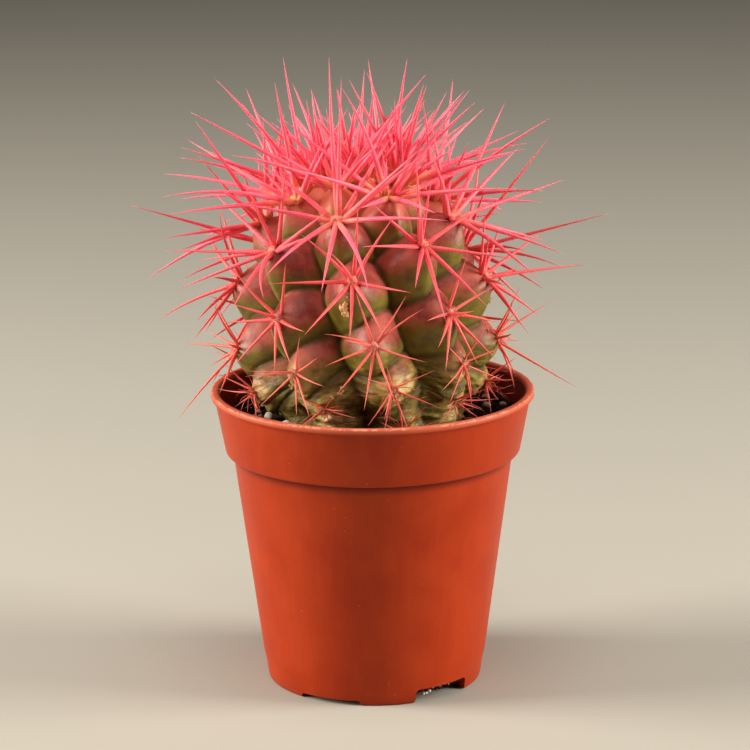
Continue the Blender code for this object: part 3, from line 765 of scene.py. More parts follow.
def pot_plastic():
    """Matt moulded terracotta plastic.

    Cloudy colour with faint upright flow marks, painted shadow under the collar, darker towards the floor,
    painted shade inside, a lighter lip as painted highlight, fine dust, white specks and scratches, and a
    pale broken line along the lip's outer edge: wear, and painted highlight too.
    """
    finish = Finish("terracotta_plastic_finish")
    height, radius = finish.height(), finish.radius()
    cloud = finish.noise(9.0 * MM, 4.0)
    flow = finish.noise(1.6 * MM, 3.0, vector=finish.stretched((1.0, 1.0, 0.06)))
    finish.color = finish.mix(finish.step(cloud, 0.3, 0.7), (0.355, 0.026, 0.002), (0.41, 0.037, 0.004))
    finish.paint("flow marks", (0.60, 0.065, 0.014), finish.step(flow, 0.45, 0.75, 0.0, 0.12))
    # Painted shadow: a dark band just under the collar, where its overhang shades the wall
    below = finish.step(height, COLLAR_BOTTOM + 0.1 * MM, COLLAR_BOTTOM - 0.2 * MM)
    near = finish.step(height, COLLAR_BOTTOM - 2.0 * MM, COLLAR_BOTTOM)
    finish.paint("painted shadow under the collar", (0.12, 0.006, 0.001), below, near, 0.95)
    # Darker towards the foot, in a cloudy band a few millimetres high
    foot = finish.step(finish.math("ADD", height, finish.product(cloud, 3.0 * MM)), 4.0 * MM, 1.5 * MM)
    finish.paint("darker towards the foot", (0.25, 0.03, 0.012), foot, 0.25)
    # Painted shade: the inside wall of the collar darkened, as shade falls inside the pot
    inner_side = finish.math("SUBTRACT", radius, finish.product(height, COLLAR_SLOPE))
    edge = COLLAR_BOTTOM_RADIUS - WALL - COLLAR_BOTTOM * COLLAR_SLOPE
    inside = finish.step(inner_side, edge + 0.4 * MM, edge + 0.2 * MM)
    high = finish.step(height, COLLAR_BOTTOM + 0.5 * MM, COLLAR_BOTTOM + 1.5 * MM)
    finish.paint("painted shade inside the collar", (0.12, 0.007, 0.002), inside, high, 0.85)
    # Painted highlight: the top millimetre of the lip made lighter, as if lit from above
    lip = finish.step(height, POT_HEIGHT - 1.1 * MM, POT_HEIGHT - 0.3 * MM, 0.0, 0.35)
    finish.paint("lip", (0.85, 0.27, 0.18), lip)
    # Wear and painted highlight: a pale broken line along the lip's outer top edge
    top = finish.step(height, POT_HEIGHT - 0.34 * MM, POT_HEIGHT - 0.16 * MM)
    outer = finish.step(radius, LIP_RADIUS - 0.5 * MM, LIP_RADIUS - 0.3 * MM)
    broken = finish.step(finish.noise(0.9 * MM, 4.0, 0.7), 0.45, 0.62)
    finish.paint("wear and painted highlight on the lip", (0.92, 0.40, 0.27), top, outer, broken, 0.6)
    specks = finish.step(finish.cells(1.5 * MM), 0.06, 0.02)
    scarce = finish.step(finish.noise(5.0 * MM, 2.0), 0.52, 0.62)
    finish.paint("specks", (0.85, 0.60, 0.45), specks, scarce, 0.8)
    scratches = finish.cells(1.1 * MM, finish.stretched((1.0, 1.0, 0.2), (0.4, 0.3, 0.0)))
    scratches = finish.step(scratches, 0.045, 0.015)
    finish.paint("scratches", (0.85, 0.50, 0.36), scratches, finish.step(cloud, 0.5, 0.62), 0.5)
    dust = finish.noise(0.5 * MM, 4.0, 0.7)
    finish.paint("dust", (0.80, 0.34, 0.12), finish.step(dust, 0.55, 0.8, 0.0, 0.04))
    grain = finish.bump(finish.noise(0.22 * MM, 3.0, 0.6), 0.012 * MM)
    relief = finish.bump(flow, 0.03 * MM, base=grain)
    return finish.finished(finish.step(cloud, 0.2, 0.8, 0.38, 0.52), relief, {"Specular IOR Level": 0.17})


def make_pot():
    """The pot, turned from its section, with its drain notches cut out."""
    section = pot_outline()
    rings = circle_points(section[:, 0], section[:, 1], POT_COLUMNS)[None]
    under = np.array([[0.0, 0.0, BASE_BOTTOM]])
    inside = np.array([[0.0, 0.0, BASE_TOP]])
    mesh = shells_mesh("pot_shell", rings, under, inside)
    pot = add_piece("pot_shell", mesh, pot_plastic(), "pot")
    cut(pot, [notch_cutter(angle, height) for angle, height in NOTCHES])
    pot.data.shade_smooth()
    pot.data.set_sharp_from_angle(angle=POT_SHARP_ANGLE)


# Body of the plant


def belly_radius(latitude):
    """Radius of the lower half, which is fuller than a ball, at a latitude below the middle."""
    depth = np.abs(np.sin(np.radians(latitude)))
    return BODY_RADIUS * (1.0 - depth**BELLY_POWER) ** (1.0 / BELLY_POWER)


def outline(latitude):
    """Radius and height of the body's smooth outline, from latitude 90 at the crown to -90 at the root.

    The upper half is a ball with fuller shoulders and a shallow dip at the crown, the lower half is fuller
    still, and below the neck's latitude a tapering foot with a rounded end goes down into the soil.
    """
    latitude = np.asarray(latitude, float)
    sine = np.sin(np.radians(latitude))
    crown_share = np.maximum(1.0 - np.maximum(sine, 0.0) ** CROWN_POWER, 0.0)
    crown_radius = BODY_RADIUS * crown_share ** (1.0 / CROWN_POWER)
    crown_height = BODY_RISE * sine - CROWN_DIP * np.exp(-((crown_radius / CROWN_DIP_RADIUS) ** 2))
    share = (NECK_LATITUDE - latitude) / (NECK_LATITUDE + 90.0)
    end = np.clip((ROOT_END_ARC - 90.0 - latitude) / ROOT_END_ARC, 0.0, 1.0)
    neck_radius = belly_radius(NECK_LATITUDE) * (1.0 - NECK_TAPER * share)
    neck_radius = neck_radius * np.sqrt(np.maximum(1.0 - end * end, 0.0))
    neck_height = BODY_DROP * math.sin(math.radians(NECK_LATITUDE)) - NECK_LENGTH * share
    in_crown, in_belly = latitude >= 0.0, latitude >= NECK_LATITUDE
    radius = np.where(in_crown, crown_radius, np.where(in_belly, belly_radius(latitude), neck_radius))
    height = np.where(in_crown, crown_height, np.where(in_belly, BODY_DROP * sine, neck_height))
    return radius, height


def row_latitude(row):
    """Latitude of a row of areoles: evenly spaced low down, and closing up towards the crown."""
    polar = 90.0 - ROW_ZERO_LATITUDE + ROW_LATITUDE * CROWN_ROW
    closing = 90.0 - polar * np.exp((np.minimum(row, CROWN_ROW) - CROWN_ROW) * ROW_LATITUDE / polar)
    return np.where(row >= CROWN_ROW, ROW_ZERO_LATITUDE - ROW_LATITUDE * row, closing)


def body_frame(bearing, latitude):
    """Place and the outward, upward and rightward directions on the smooth outline, seen from outside."""
    low, high, here = (outline(latitude + step) for step in (-SLOPE_STEP, SLOPE_STEP, 0.0))
    flat = np.zeros(np.shape(bearing))
    ahead = np.stack([np.sin(bearing), -np.cos(bearing), flat], axis=-1)
    right = np.stack([np.cos(bearing), np.sin(bearing), flat], axis=-1)
    tall = np.array([0.0, 0.0, 1.0])
    up = unit(ahead * (high[0] - low[0])[..., None] + tall * (high[1] - low[1])[..., None])
    place = ahead * here[0][..., None] + tall * here[1][..., None]
    return place, unit(np.cross(right, up)), up, right


def areole_frame(number, drop=0.0):
    """body_frame of an areole of the spiral, or of a point this many rows below it."""
    row = number / STEPS_PER_ROW + drop
    return body_frame(np.radians(SPIRAL_START + SPIRAL_STEP * number), row_latitude(row))


def to_world(points):
    """Points of the body's own frame, leaned and set on the body's place."""
    return points @ BODY_TURN.T + BODY_PLACE


MOUND_NUMBERS = np.arange(FIRST_MOUND, LAST_MOUND + 1)
MOUNDS, *MOUND_AXES = areole_frame(MOUND_NUMBERS, MOUND_DROP)


def mound_depths(places):
    """Depth of every mound's slope below the smooth outline, at each place: (places, mounds)."""
    away = np.linalg.norm(places[..., None, :] - MOUNDS, axis=-1)
    return MOUND_SLOPE * (np.sqrt(away**2 + MOUND_ROUNDING**2) - MOUND_ROUNDING)


def furrow(place, latitude):
    """Depth of the solid's skin below the smooth outline, which sets the roots of its spines.

    Each mound falls away from its centre by a hyperbola, and the highest one shows, softened where two meet.
    """
    depths = mound_depths(place)
    highest = depths.min(axis=-1)
    spread = np.exp((highest[..., None] - depths) / MOUND_BLEND).sum(axis=-1)
    depth = np.maximum(highest - MOUND_BLEND * np.log(spread), 0.0)
    return depth * (1.0 - ramp(-latitude, *MOUND_FADE))


def mound_reach(places):
    """Distance of each place from every mound's centre: (places, mounds).

    It is a power sum over the mound's outward, upward and rightward axes. A power below 2 gives the mound
    four faces that meet in soft ridges, one of them straight down from the areole. The rightward axis weighs
    more, so the furrows between columns are the deeper ones.
    """
    offset = places[..., None, :] - MOUNDS
    spans = [
        np.abs(weight * (offset * axis).sum(axis=-1)) ** FACET_POWER
        for weight, axis in zip(MOUND_WEIGHTS, MOUND_AXES)
    ]
    return sum(spans) ** (1.0 / FACET_POWER)


def relief(places):
    """Depth below the smooth outline, the gap between the two nearest mounds, and the nearest mound.

    A mound falls away partly by a hyperbola and partly by a parabola of its reach, and a groove of
    bell-shaped section runs where two mounds meet. The mounds are flatter low on the body.
    """
    reach = mound_reach(places)
    cone = CONE_SLOPE * (np.sqrt(reach**2 + CONE_ROUNDING**2) - CONE_ROUNDING)
    depths = blend(cone, PILLOW_CURVE * reach**2, PILLOW_SHARE)
    highest = depths.min(axis=-1)
    spread = np.exp((highest[..., None] - depths) / RELIEF_BLEND).sum(axis=-1)
    first, second = np.moveaxis(np.partition(reach, 1, axis=-1)[..., :2], -1, 0)
    gap = second - first
    groove = CREASE_DEPTH * np.exp(-((gap / CREASE_WIDTH) ** 2)) * ramp(highest, *CREASE_RISE)
    depth = np.maximum(highest - RELIEF_BLEND * np.log(spread), 0.0) + groove
    low = np.degrees(np.arctan2(-places[..., 2], np.hypot(places[..., 0], places[..., 1])))
    depth = depth * (1.0 - FLAT_SHARE * ramp(low, *FLAT_LATITUDES))
    return depth, gap, depths.argmin(axis=-1)


def on_skin(number, aside=0.0, above=0.0):
    """Places on the carved skin beside an areole, and the outward, upward and rightward directions there."""
    place, out, up, right = areole_frame(number)
    place = place + right * np.asarray(aside)[..., None] + up * np.asarray(above)[..., None]
    return place - out * relief(place)[0][..., None], out, up, right


# Spines


def spine_length(row):
    """Usual length of a flat spine in a row: longer by a bell curve near the crown, and worn low down."""
    crown = math.exp(-(((row - SPINE_CROWN_ROW) / SPINE_CROWN_SPREAD) ** 2))
    return SPINE_BASE_LENGTH + SPINE_CROWN_EXTRA * crown - SPINE_WEAR * max(row - SPINE_WEAR_ROW, 0.0)


def spine_radius(row):
    """Radius of a spine's root in a row."""
    return blend(SPINE_THICK, SPINE_THIN, ramp(row, *SPINE_THIN_ROWS))


def spine_rose(number):
    """Clock angle, lift and length of each usual spine of an areole."""
    chance = random.Random(f"{SPINE_SEED} {number}")
    row = number / STEPS_PER_ROW
    usual = spine_length(row)
    turned = chance.uniform(0.0, 360.0)
    apart = 360.0 / RADIAL_COUNT
    even = [turned + apart * k + chance.uniform(-CLOCK_SCATTER, CLOCK_SCATTER) for k in range(RADIAL_COUNT)]
    lift = RADIAL_LIFT + CROWN_LIFT * ramp(-row, -CROWN_LIFT_ROW, CROWN_LIFT_ROW)
    rose = []
    for clock in STARS.get(number, even):
        scatter = chance.uniform(-LIFT_SCATTER, LIFT_SCATTER)
        rose.append((clock, lift + scatter, usual * chance.uniform(*LENGTH_RANGE)))
    centrals = 2 if row < CENTRALS_ABOVE_ROW else 1
    if number in LONG_SPINES:
        centrals = 0
    for k in range(centrals):
        aside = chance.uniform(-CENTRAL_CLOCK_SCATTER, CENTRAL_CLOCK_SCATTER)
        scatter = chance.uniform(-CENTRAL_LIFT_SCATTER, CENTRAL_LIFT_SCATTER)
        clock = turned + 360.0 * k / centrals + aside
        rose.append((clock, CENTRAL_LIFT + scatter, usual * chance.uniform(*CENTRAL_LENGTH_RANGE)))
    return rose


def soil_top(x, y):
    """Height of the soil's top: its level, a bell-shaped rise at the front left, and ripples of sines."""
    away = np.hypot(x - SOIL_RISE_CENTRE[0], y - SOIL_RISE_CENTRE[1])
    rise = SOIL_RISE * np.exp(-((away / SOIL_RISE_SPREAD) ** 2))
    across, forward, slanted = SOIL_RIPPLES
    ripple = np.sin(x / across + SOIL_RIPPLE_SHIFT) * np.cos(y / forward) + np.sin((x - y) / slanted)
    return SOIL_LEVEL + rise + SOIL_UNEVENNESS * ripple


def inner_radius(height):
    """Radius of the pot's inside at a height in its collar."""
    share = (height - COLLAR_BOTTOM) / (POT_HEIGHT - LIP_DEPTH - COLLAR_BOTTOM)
    return blend(COLLAR_BOTTOM_RADIUS, COLLAR_TOP_RADIUS, share) - WALL


def is_clear(root, tip, radius):
    """Whether a spine, past its root, stays clear of the pot and the soil."""
    margin = SPINE_MARGIN + radius
    share = np.arange(SPINE_CHECK_FROM, SPINE_CHECKS + 1)[:, None] / SPINE_CHECKS
    x, y, z = (root + (tip - root) * share).T
    away = np.hypot(x, y)
    outside = (z > POT_HEIGHT + margin) | (away > LIP_RADIUS + margin)
    inside = (away <= inner_radius(z) - margin) & (z >= soil_top(x, y) + margin)
    return bool(np.all(outside | inside))


def spine_ends(number, clock, lift, length):
    """World places of a spine's root, on the skin a little off the areole's middle, and of its tip."""
    place, out, up, right = areole_frame(number)
    row = number / STEPS_PER_ROW
    bearing = math.radians(clock)
    flat = up * math.cos(bearing) + right * math.sin(bearing)
    rise = math.radians(lift)
    way = flat * math.cos(rise) + out * math.sin(rise)
    beside = place + flat * (SPINE_RING * spine_radius(row) * math.cos(rise))
    root = beside - out * furrow(beside, row_latitude(row))
    return to_world(root), to_world(root + way * length)


def is_apart(root, tip, radius, spines):
    """Whether a spine passes every spine already placed, measured where the two come closest."""
    if not spines:
        return True
    roots = np.array([spine["root"] for spine in spines])
    ways = np.array([spine["tip"] for spine in spines]) - roots
    radii = np.array([spine["radius"] for spine in spines])
    way = tip - root
    offset = root - roots
    own, theirs, mixed = way @ way, (ways * ways).sum(1), ways @ way
    along, across = offset @ way, (ways * offset).sum(1)
    share = np.clip((mixed * across - along * theirs) / (own * theirs - mixed**2 + PARALLEL), 0.0, 1.0)
    other = np.clip((mixed * share + across) / theirs, 0.0, 1.0)
    share = np.clip((mixed * other - along) / own, 0.0, 1.0)
    gaps = np.linalg.norm(offset + share[:, None] * way - other[:, None] * ways, axis=1)
    needed = radius * (1.0 - share) + radii * (1.0 - other) + SPINE_SPACE
    return bool(np.all((gaps > needed) | ((share < SPINE_ROOT_SHARE) & (other < SPINE_ROOT_SHARE))))


def place_spine(number, clock, lift, length, spines):
    """Adds a spine in the nearest attitude that clears the pot, the soil and the other spines."""
    radius = spine_radius(number / STEPS_PER_ROW)
    for attempt in range(SPINE_TRIES):
        side = (attempt + 1) // 2 * (1.0 if attempt % 2 else -1.0)
        turned = clock + SPINE_TURN * side
        raised = min(lift + SPINE_RAISE * attempt, SPINE_STEEPEST)
        size = length * SPINE_SHORTER**attempt
        root, tip = spine_ends(number, turned, max(raised, lift), size)
        if size > SPINE_SHORTEST and is_clear(root, tip, radius) and is_apart(root, tip, radius, spines):
            spines.append({"root": root, "tip": tip, "radius": radius, "number": number})
            return


def grown_areoles():
    """Numbers of the areoles that stand clear of the soil."""
    numbers = np.arange(FIRST_AREOLE, LAST_AREOLE + 1)
    places = to_world(areole_frame(numbers)[0])
    clear = places[:, 2] > soil_top(places[:, 0], places[:, 1]) + SPINE_MARGIN
    return [int(number) for number in numbers[clear]]


def solid_spines():
    """The spines that the plant's solid has: the outstanding ones first, and the others fitted between.

    On each of the four sides the spine that reaches farthest then ends just at the solid's reach, and so
    does any other that would pass it.
    """
    grown = grown_areoles()
    spines = []
    for number in grown:
        for clock, lift, size in LONG_SPINES.get(number, ()):
            place_spine(number, clock, lift, size * MM, spines)
    for number in grown:
        for clock, lift, length in spine_rose(number):
            place_spine(number, clock, lift, length, spines)
    for axis in (0, 1):
        for side in (-1.0, 1.0):
            widest = max(spines, key=lambda spine: side * spine["tip"][axis])
            for spine in spines:
                root, tip = spine["root"], spine["tip"]
                if spine is widest or side * tip[axis] > REACH[axis]:
                    share = (side * REACH[axis] - root[axis]) / (tip[axis] - root[axis])
                    spine["tip"] = root + (tip - root) * share
    return spines


def young_spines(spines):
    """Adds the young spines of the crown: any clock angle, and steeper than the flat ones of the solid."""
    for number in range(YOUNG_FIRST, YOUNG_LAST + 1):
        chance = random.Random(f"{YOUNG_SEED} {number}")
        for _ in range(YOUNG_PER_AREOLE):
            clock = chance.uniform(0.0, 360.0)
            place_spine(number, clock, chance.uniform(*YOUNG_LIFTS), chance.uniform(*YOUNG_LENGTHS), spines)


def tube_rings(paths, radii, sides):
    """Rings round paths: (paths, points, sides, 3) from (paths, points, 3) and (paths, points).

    Each ring lies across the path's direction there, on two directions at right angles to it.
    """
    way = unit(np.gradient(paths, axis=1))
    helper = np.where(np.abs(way[..., 2:]) > STEEP, [1.0, 0.0, 0.0], [0.0, 0.0, 1.0])
    first = unit(np.cross(helper[:, :1], way))
    second = np.cross(way, first)
    angle = np.arange(sides) / sides * math.tau
    across = np.cos(angle)[:, None] * first[..., None, :] + np.sin(angle)[:, None] * second[..., None, :]
    return paths[..., None, :] + radii[..., None, None] * across


def bowed_paths(roots, tips, bows, shares):
    """Points at these shares of the way from root to tip, moved aside by a parabola with its top midway."""
    share = np.asarray(shares)[None, :, None]
    return roots[:, None] + (tips - roots)[:, None] * share + bows[:, None] * 4.0 * share * (1.0 - share)


def spine_dye():
    """Coral dye over the spines: hot pink near the crown, salmon low down, orange at the youngest roots.

    Narrow rings cross each spine, as they do on the plant, and each spine has its own strength of dye.
    """
    finish = Finish("spine_dye")
    age, along, own = (finish.attribute(label) for label in ("age", "along", "own"))
    finish.color = finish.mix(finish.step(age, 0.12, 0.42), (1.0, 0.148, 0.262), (0.86, 0.092, 0.112))
    finish.paint("salmon low down", (0.82, 0.145, 0.100), finish.step(age, 0.42, 0.58))
    near_root = finish.step(along, 0.32, 0.04)
    finish.paint("young roots", (1.0, 0.52, 0.24), finish.step(age, 0.3, 0.06), near_root)
    finish.paint("own strength", (1.0, 0.24, 0.25), own, 0.3)
    patch = finish.noise(1.6 * MM, 3.0)
    finish.paint("patches", (0.92, 0.070, 0.100), finish.step(patch, 0.4, 0.8, 0.0, 0.22))
    finish.paint("pale roots", (1.0, 0.36, 0.28), finish.step(along, 0.16, 0.0, 0.0, 0.35))
    rings = finish.math("SINE", finish.product(finish.attribute("reach"), SPINE_RING_WAVES))
    finish.paint("rings", (0.72, 0.04, 0.05), finish.step(rings, 0.2, 1.0, 0.0, 0.12))
    fine = finish.bump(finish.noise(0.25 * MM, 2.0), 0.02 * MM)
    relief = finish.bump(rings, 0.012 * MM, base=fine)
    glow = {"Subsurface Weight": 0.5, "Subsurface Scale": 0.5 * MM, "Subsurface Radius": (1.0, 0.35, 0.35)}
    return finish.finished(finish.step(patch, 0.2, 0.8, 0.36, 0.5), relief, glow)


def make_spines():
    """Every spine as a slim tube that arches a little away from the body and tapers to its tip.

    Its rings stand closer towards the tip.
    """
    spines = solid_spines()
    young_spines(spines)
    roots, tips, radii, numbers = (
        np.array([spine[label] for spine in spines]) for label in ("root", "tip", "radius", "number")
    )
    rows = numbers / STEPS_PER_ROW
    ways = unit(tips - roots)
    roots = roots - ways * SPINE_SINK
    chance = np.random.default_rng(SPINE_SHAPE_SEED)
    lengths = np.linalg.norm(tips - roots, axis=1)
    outward = areole_frame(numbers)[1] @ BODY_TURN.T
    arch = outward - (outward * ways).sum(axis=1, keepdims=True) * ways
    arch = arch + SPINE_BOW_SCATTER * np.cross(ways, chance.normal(size=ways.shape))
    bows = arch * (lengths * chance.uniform(0.0, SPINE_BOW, len(spines)))[:, None]
    shares = 1.0 - (1.0 - np.linspace(0.0, 1.0, SPINE_RINGS + 1)) ** SPINE_RING_CLOSING
    paths = bowed_paths(roots, tips, bows, shares)
    slim = blend(SPINE_STOUT, SPINE_SLIM, ramp(rows, *SPINE_SLIM_ROWS))
    thick = (radii * slim)[:, None] * (1.0 - shares**SPINE_TAPER)
    rings = tube_rings(paths, thick, SPINE_SIDES)[:, :-1]
    along = np.concatenate([[0.0], np.repeat(shares[:-1], SPINE_SIDES), [1.0]])
    values = {
        "along": along,
        "age": (rows / OLD_ROW)[:, None],
        "reach": along * lengths[:, None],
        "own": chance.random(len(spines))[:, None],
    }
    mesh = shells_mesh("spines", rings, paths[:, 0], paths[:, -1], values)
    add_piece("spines", mesh, spine_dye(), "cactus")


# Skin


def skin_finish():
    """Skin under a thin coat of wax.

    Dusky mauve on the upper faces of a mound, olive green below its areole, a yellow-green rim above the
    crease, and painted shade darkening the crease. Near the crown it is peach, and low down tan and
    yellow-green, corky and finely wrinkled, with paler ridges that are partly painted highlight.
    """
    finish = Finish("cactus_skin")
    crease, chin, age, heart = (finish.attribute(label) for label in ("crease", "chin", "age", "heart"))
    patch = finish.noise(3.2 * MM, 4.0)
    fine = finish.noise(0.7 * MM, 5.0, 0.65)
    mauve = finish.mix(finish.step(patch, 0.3, 0.7), (0.225, 0.033, 0.026), (0.49, 0.108, 0.082))
    green = finish.mix(finish.step(patch, 0.3, 0.7), (0.095, 0.068, 0.005), (0.190, 0.155, 0.014))
    lower = finish.math("ADD", finish.product(chin, 0.85), finish.product(patch, 0.6))
    lower = finish.math("ADD", lower, finish.product(crease, 0.4))
    lower = finish.math("ADD", lower, finish.step(age, 0.1, 0.7, -0.3, 0.72))
    finish.color = finish.mix(finish.step(lower, 0.35, 1.25), mauve, green)
    streak = finish.noise(2.6 * MM, 3.0, 0.5, finish.stretched((1.0, 1.0, 2.4)))
    old = finish.mix(finish.step(streak, 0.36, 0.6), (0.100, 0.080, 0.012), (0.22, 0.175, 0.030))
    old = finish.mix(finish.step(patch, 0.5, 0.75, 0.0, 0.4), old, (0.34, 0.095, 0.040))
    # Paler ridges and mound middles low down: the old skin's own pale cork and painted highlight too, less
    # near the creases
    lit = finish.math("ADD", streak, finish.product(heart, 0.6))
    lit = finish.math("SUBTRACT", lit, finish.product(crease, 0.3))
    pale = finish.mix(finish.step(patch, 0.35, 0.65), (0.45, 0.33, 0.065), (0.70, 0.46, 0.20))
    old = finish.mix(finish.step(lit, 0.53, 0.89, 0.0, 0.88), old, pale)
    finish.paint("old skin", old, finish.step(age, 0.58, 0.84, 0.0, 0.9))
    near_crease = finish.step(crease, 0.15, 0.5)
    finish.paint("rim", (0.20, 0.165, 0.012), near_crease, finish.step(chin, 0.2, 0.7), 0.4)
    # Painted shade: the crease between mounds darkened
    finish.paint("crease", (0.075, 0.052, 0.006), finish.step(crease, 0.6, 1.0, 0.0, 0.72))
    finish.paint("young skin", (0.88, 0.25, 0.17), finish.step(age, 0.22, 0.02, 0.0, 0.75))
    bloom = finish.noise(1.3 * MM, 5.0, 0.7)
    finish.paint("bloom", (0.60, 0.36, 0.25), finish.step(bloom, 0.5, 0.8, 0.0, 0.08))
    pits = finish.cells(0.32 * MM)
    finish.paint("pits", (0.64, 0.38, 0.28), finish.step(pits, 0.28, 0.12, 0.0, 0.08))
    pores = finish.bump(pits, 0.018 * MM)
    waves = finish.bump(finish.noise(1.4 * MM, 4.0), 0.10 * MM, base=pores)
    relief = finish.bump(finish.product(streak, finish.step(age, 0.5, 0.85)), 0.4 * MM, base=waves)
    roughness = finish.math("ADD", finish.step(fine, 0.2, 0.8, 0.34, 0.52), finish.product(crease, 0.3))
    wax = {"Specular IOR Level": 0.3, "Coat Weight": 0.13, "Coat Roughness": 0.34}
    return finish.finished(roughness, relief, wax)


def make_stem():
    """The body: its outline on a grid of bearings and latitudes, carved by the relief and swollen by noise.

    Low down it has folds and finer wrinkles too: noise drawn out level.
    """
    bearing = np.arange(BODY_COLUMNS) / BODY_COLUMNS * math.tau
    root = np.linspace(-GRID_END, SOIL_LATITUDE, ROOT_ROWS, endpoint=False)
    latitude = np.concatenate([root, np.linspace(SOIL_LATITUDE, GRID_END, BODY_ROWS)])
    turned, level = np.meshgrid(bearing, latitude)
    place, out, up, _ = body_frame(turned, level)
    depth, gap, nearest = relief(place)
    offset = place - MOUNDS[nearest]
    swell = rough_noise(place, SWELL_SIZE) * SWELL_DEPTH
    wrinkle = rough_noise(place * WRINKLE_STRETCH, WRINKLE_SIZE) * WRINKLE_DEPTH
    wrinkle = wrinkle * ramp(-level, *WRINKLE_LATITUDES)
    fold = rough_noise(place * FOLD_STRETCH, FOLD_SIZE, octaves=2) * FOLD_DEPTH
    fold = fold * ramp(-level, *FOLD_LATITUDES)
    skin = place - out * (depth - swell - wrinkle - fold)[..., None]
    ends = [to_world(np.array([[0.0, 0.0, outline(angle)[1]]])) for angle in (-90.0, 90.0)]
    values = {
        "crease": np.exp(-((gap / CREASE_COLOR_WIDTH) ** 2)),
        "chin": np.clip(-(offset * up).sum(axis=-1) / CHIN_DROP, -1.0, 1.0),
        "heart": np.exp(-((np.linalg.norm(offset, axis=-1) / HEART_SIZE) ** 2)),
        "age": (ROW_ZERO_LATITUDE - level) / ROW_LATITUDE / OLD_ROW,
    }
    values = {label: np.pad(numbers.ravel(), 1, "edge") for label, numbers in values.items()}
    mesh = shells_mesh("stem", to_world(skin)[None], ends[0], ends[1], values)
    add_piece("stem", mesh, skin_finish(), "cactus")


# Wool


def wool_finish():
    """Felted wool: cream and orange at the crown, pinkish cream on the sides, tan and grey low down."""
    finish = Finish("areole_wool")
    age = finish.attribute("age")
    young = finish.mix(finish.noise(1.2 * MM), (1.0, 0.36, 0.15), (1.0, 0.62, 0.34))
    grown = finish.mix(finish.noise(0.6 * MM), (0.95, 0.20, 0.18), (0.96, 0.48, 0.40))
    old = finish.mix(finish.noise(0.6 * MM), (0.55, 0.17, 0.10), (0.75, 0.40, 0.22))
    finish.color = finish.mix(finish.step(age, 0.02, 0.24), young, grown)
    finish.paint("old felt", old, finish.step(age, 0.45, 0.85))
    relief = finish.bump(finish.noise(0.18 * MM, 4.0), 0.12 * MM)
    return finish.finished(finish.step(finish.noise(0.5 * MM), 0.2, 0.8, 0.7, 0.9), relief)


def pad_size(rows):
    """Radius of the felt of an areole: broad near the crown, small in the old rows."""
    grown = blend(PAD_YOUNG_SHARE, 1.0, ramp(rows, *PAD_YOUNG_ROWS))
    return PAD_RADIUS * grown * blend(1.0, PAD_OLD_SHARE, ramp(rows, *PAD_OLD_ROWS))


def make_pads():
    """The felt cushion of each areole: an ellipse's arc turned round the outward axis, made uneven."""
    numbers = np.array(grown_areoles())
    seat, out, up, right = on_skin(numbers)
    rows = numbers / STEPS_PER_ROW
    size = pad_size(rows)
    rise = np.radians(np.linspace(*PAD_RISE, PAD_RINGS))
    angle = np.arange(PAD_SIDES) / PAD_SIDES * math.tau
    chance = np.random.default_rng(HAIR_SEED)
    bulge = 1.0 + PAD_BULGE * chance.uniform(-1.0, 1.0, (len(numbers), PAD_RINGS, PAD_SIDES, 1))
    turned = np.stack([
        np.cos(rise)[:, None] * np.cos(angle),
        np.cos(rise)[:, None] * np.sin(angle) * PAD_TALL,
        np.broadcast_to(np.sin(rise)[:, None] * PAD_FLATNESS, (PAD_RINGS, PAD_SIDES)),
    ], axis=-1)
    shaped = turned[None] * bulge * size[:, None, None, None]
    axes = np.stack([right, up, out], axis=1)
    rings = to_world(seat[:, None, None] + np.einsum("nrsk,nkj->nrsj", shaped, axes))
    tops = to_world(seat + out * (size * PAD_FLATNESS)[:, None])
    bottoms = to_world(seat - out * (size * PAD_SINK)[:, None])
    mesh = shells_mesh("areole_pads", rings, bottoms, tops, {"age": (rows / OLD_ROW)[:, None]})
    add_piece("areole_pads", mesh, wool_finish(), "cactus")


def hair_mesh(name, roots, ways, lengths, radius, age, chance):
    """Short tapered hairs from their roots along their ways, each bowed by a parabola, as one mesh."""
    tips = roots + ways * lengths[:, None]
    bows = unit(np.cross(ways, chance.normal(size=ways.shape))) * (lengths * HAIR_BOW)[:, None]
    shares = np.linspace(0.0, 1.0, HAIR_RINGS + 1)
    paths = bowed_paths(roots, tips, bows, shares)
    thick = np.broadcast_to(radius * (1.0 - HAIR_TAPER * shares), paths.shape[:2])
    rings = tube_rings(paths, thick, HAIR_SIDES)[:, :-1]
    return shells_mesh(name, rings, paths[:, 0], paths[:, -1], {"age": age[:, None]})


def old_spine_finish():
    """Dye gone pale and brown."""
    finish = Finish("old_spines")
    finish.color = finish.mix(finish.noise(1.5 * MM), (0.78, 0.085, 0.070), (0.42, 0.11, 0.070))
    relief = finish.bump(finish.noise(0.2 * MM), 0.02 * MM)
    return finish.finished(finish.step(finish.noise(0.8 * MM), 0.2, 0.8, 0.45, 0.65), relief)


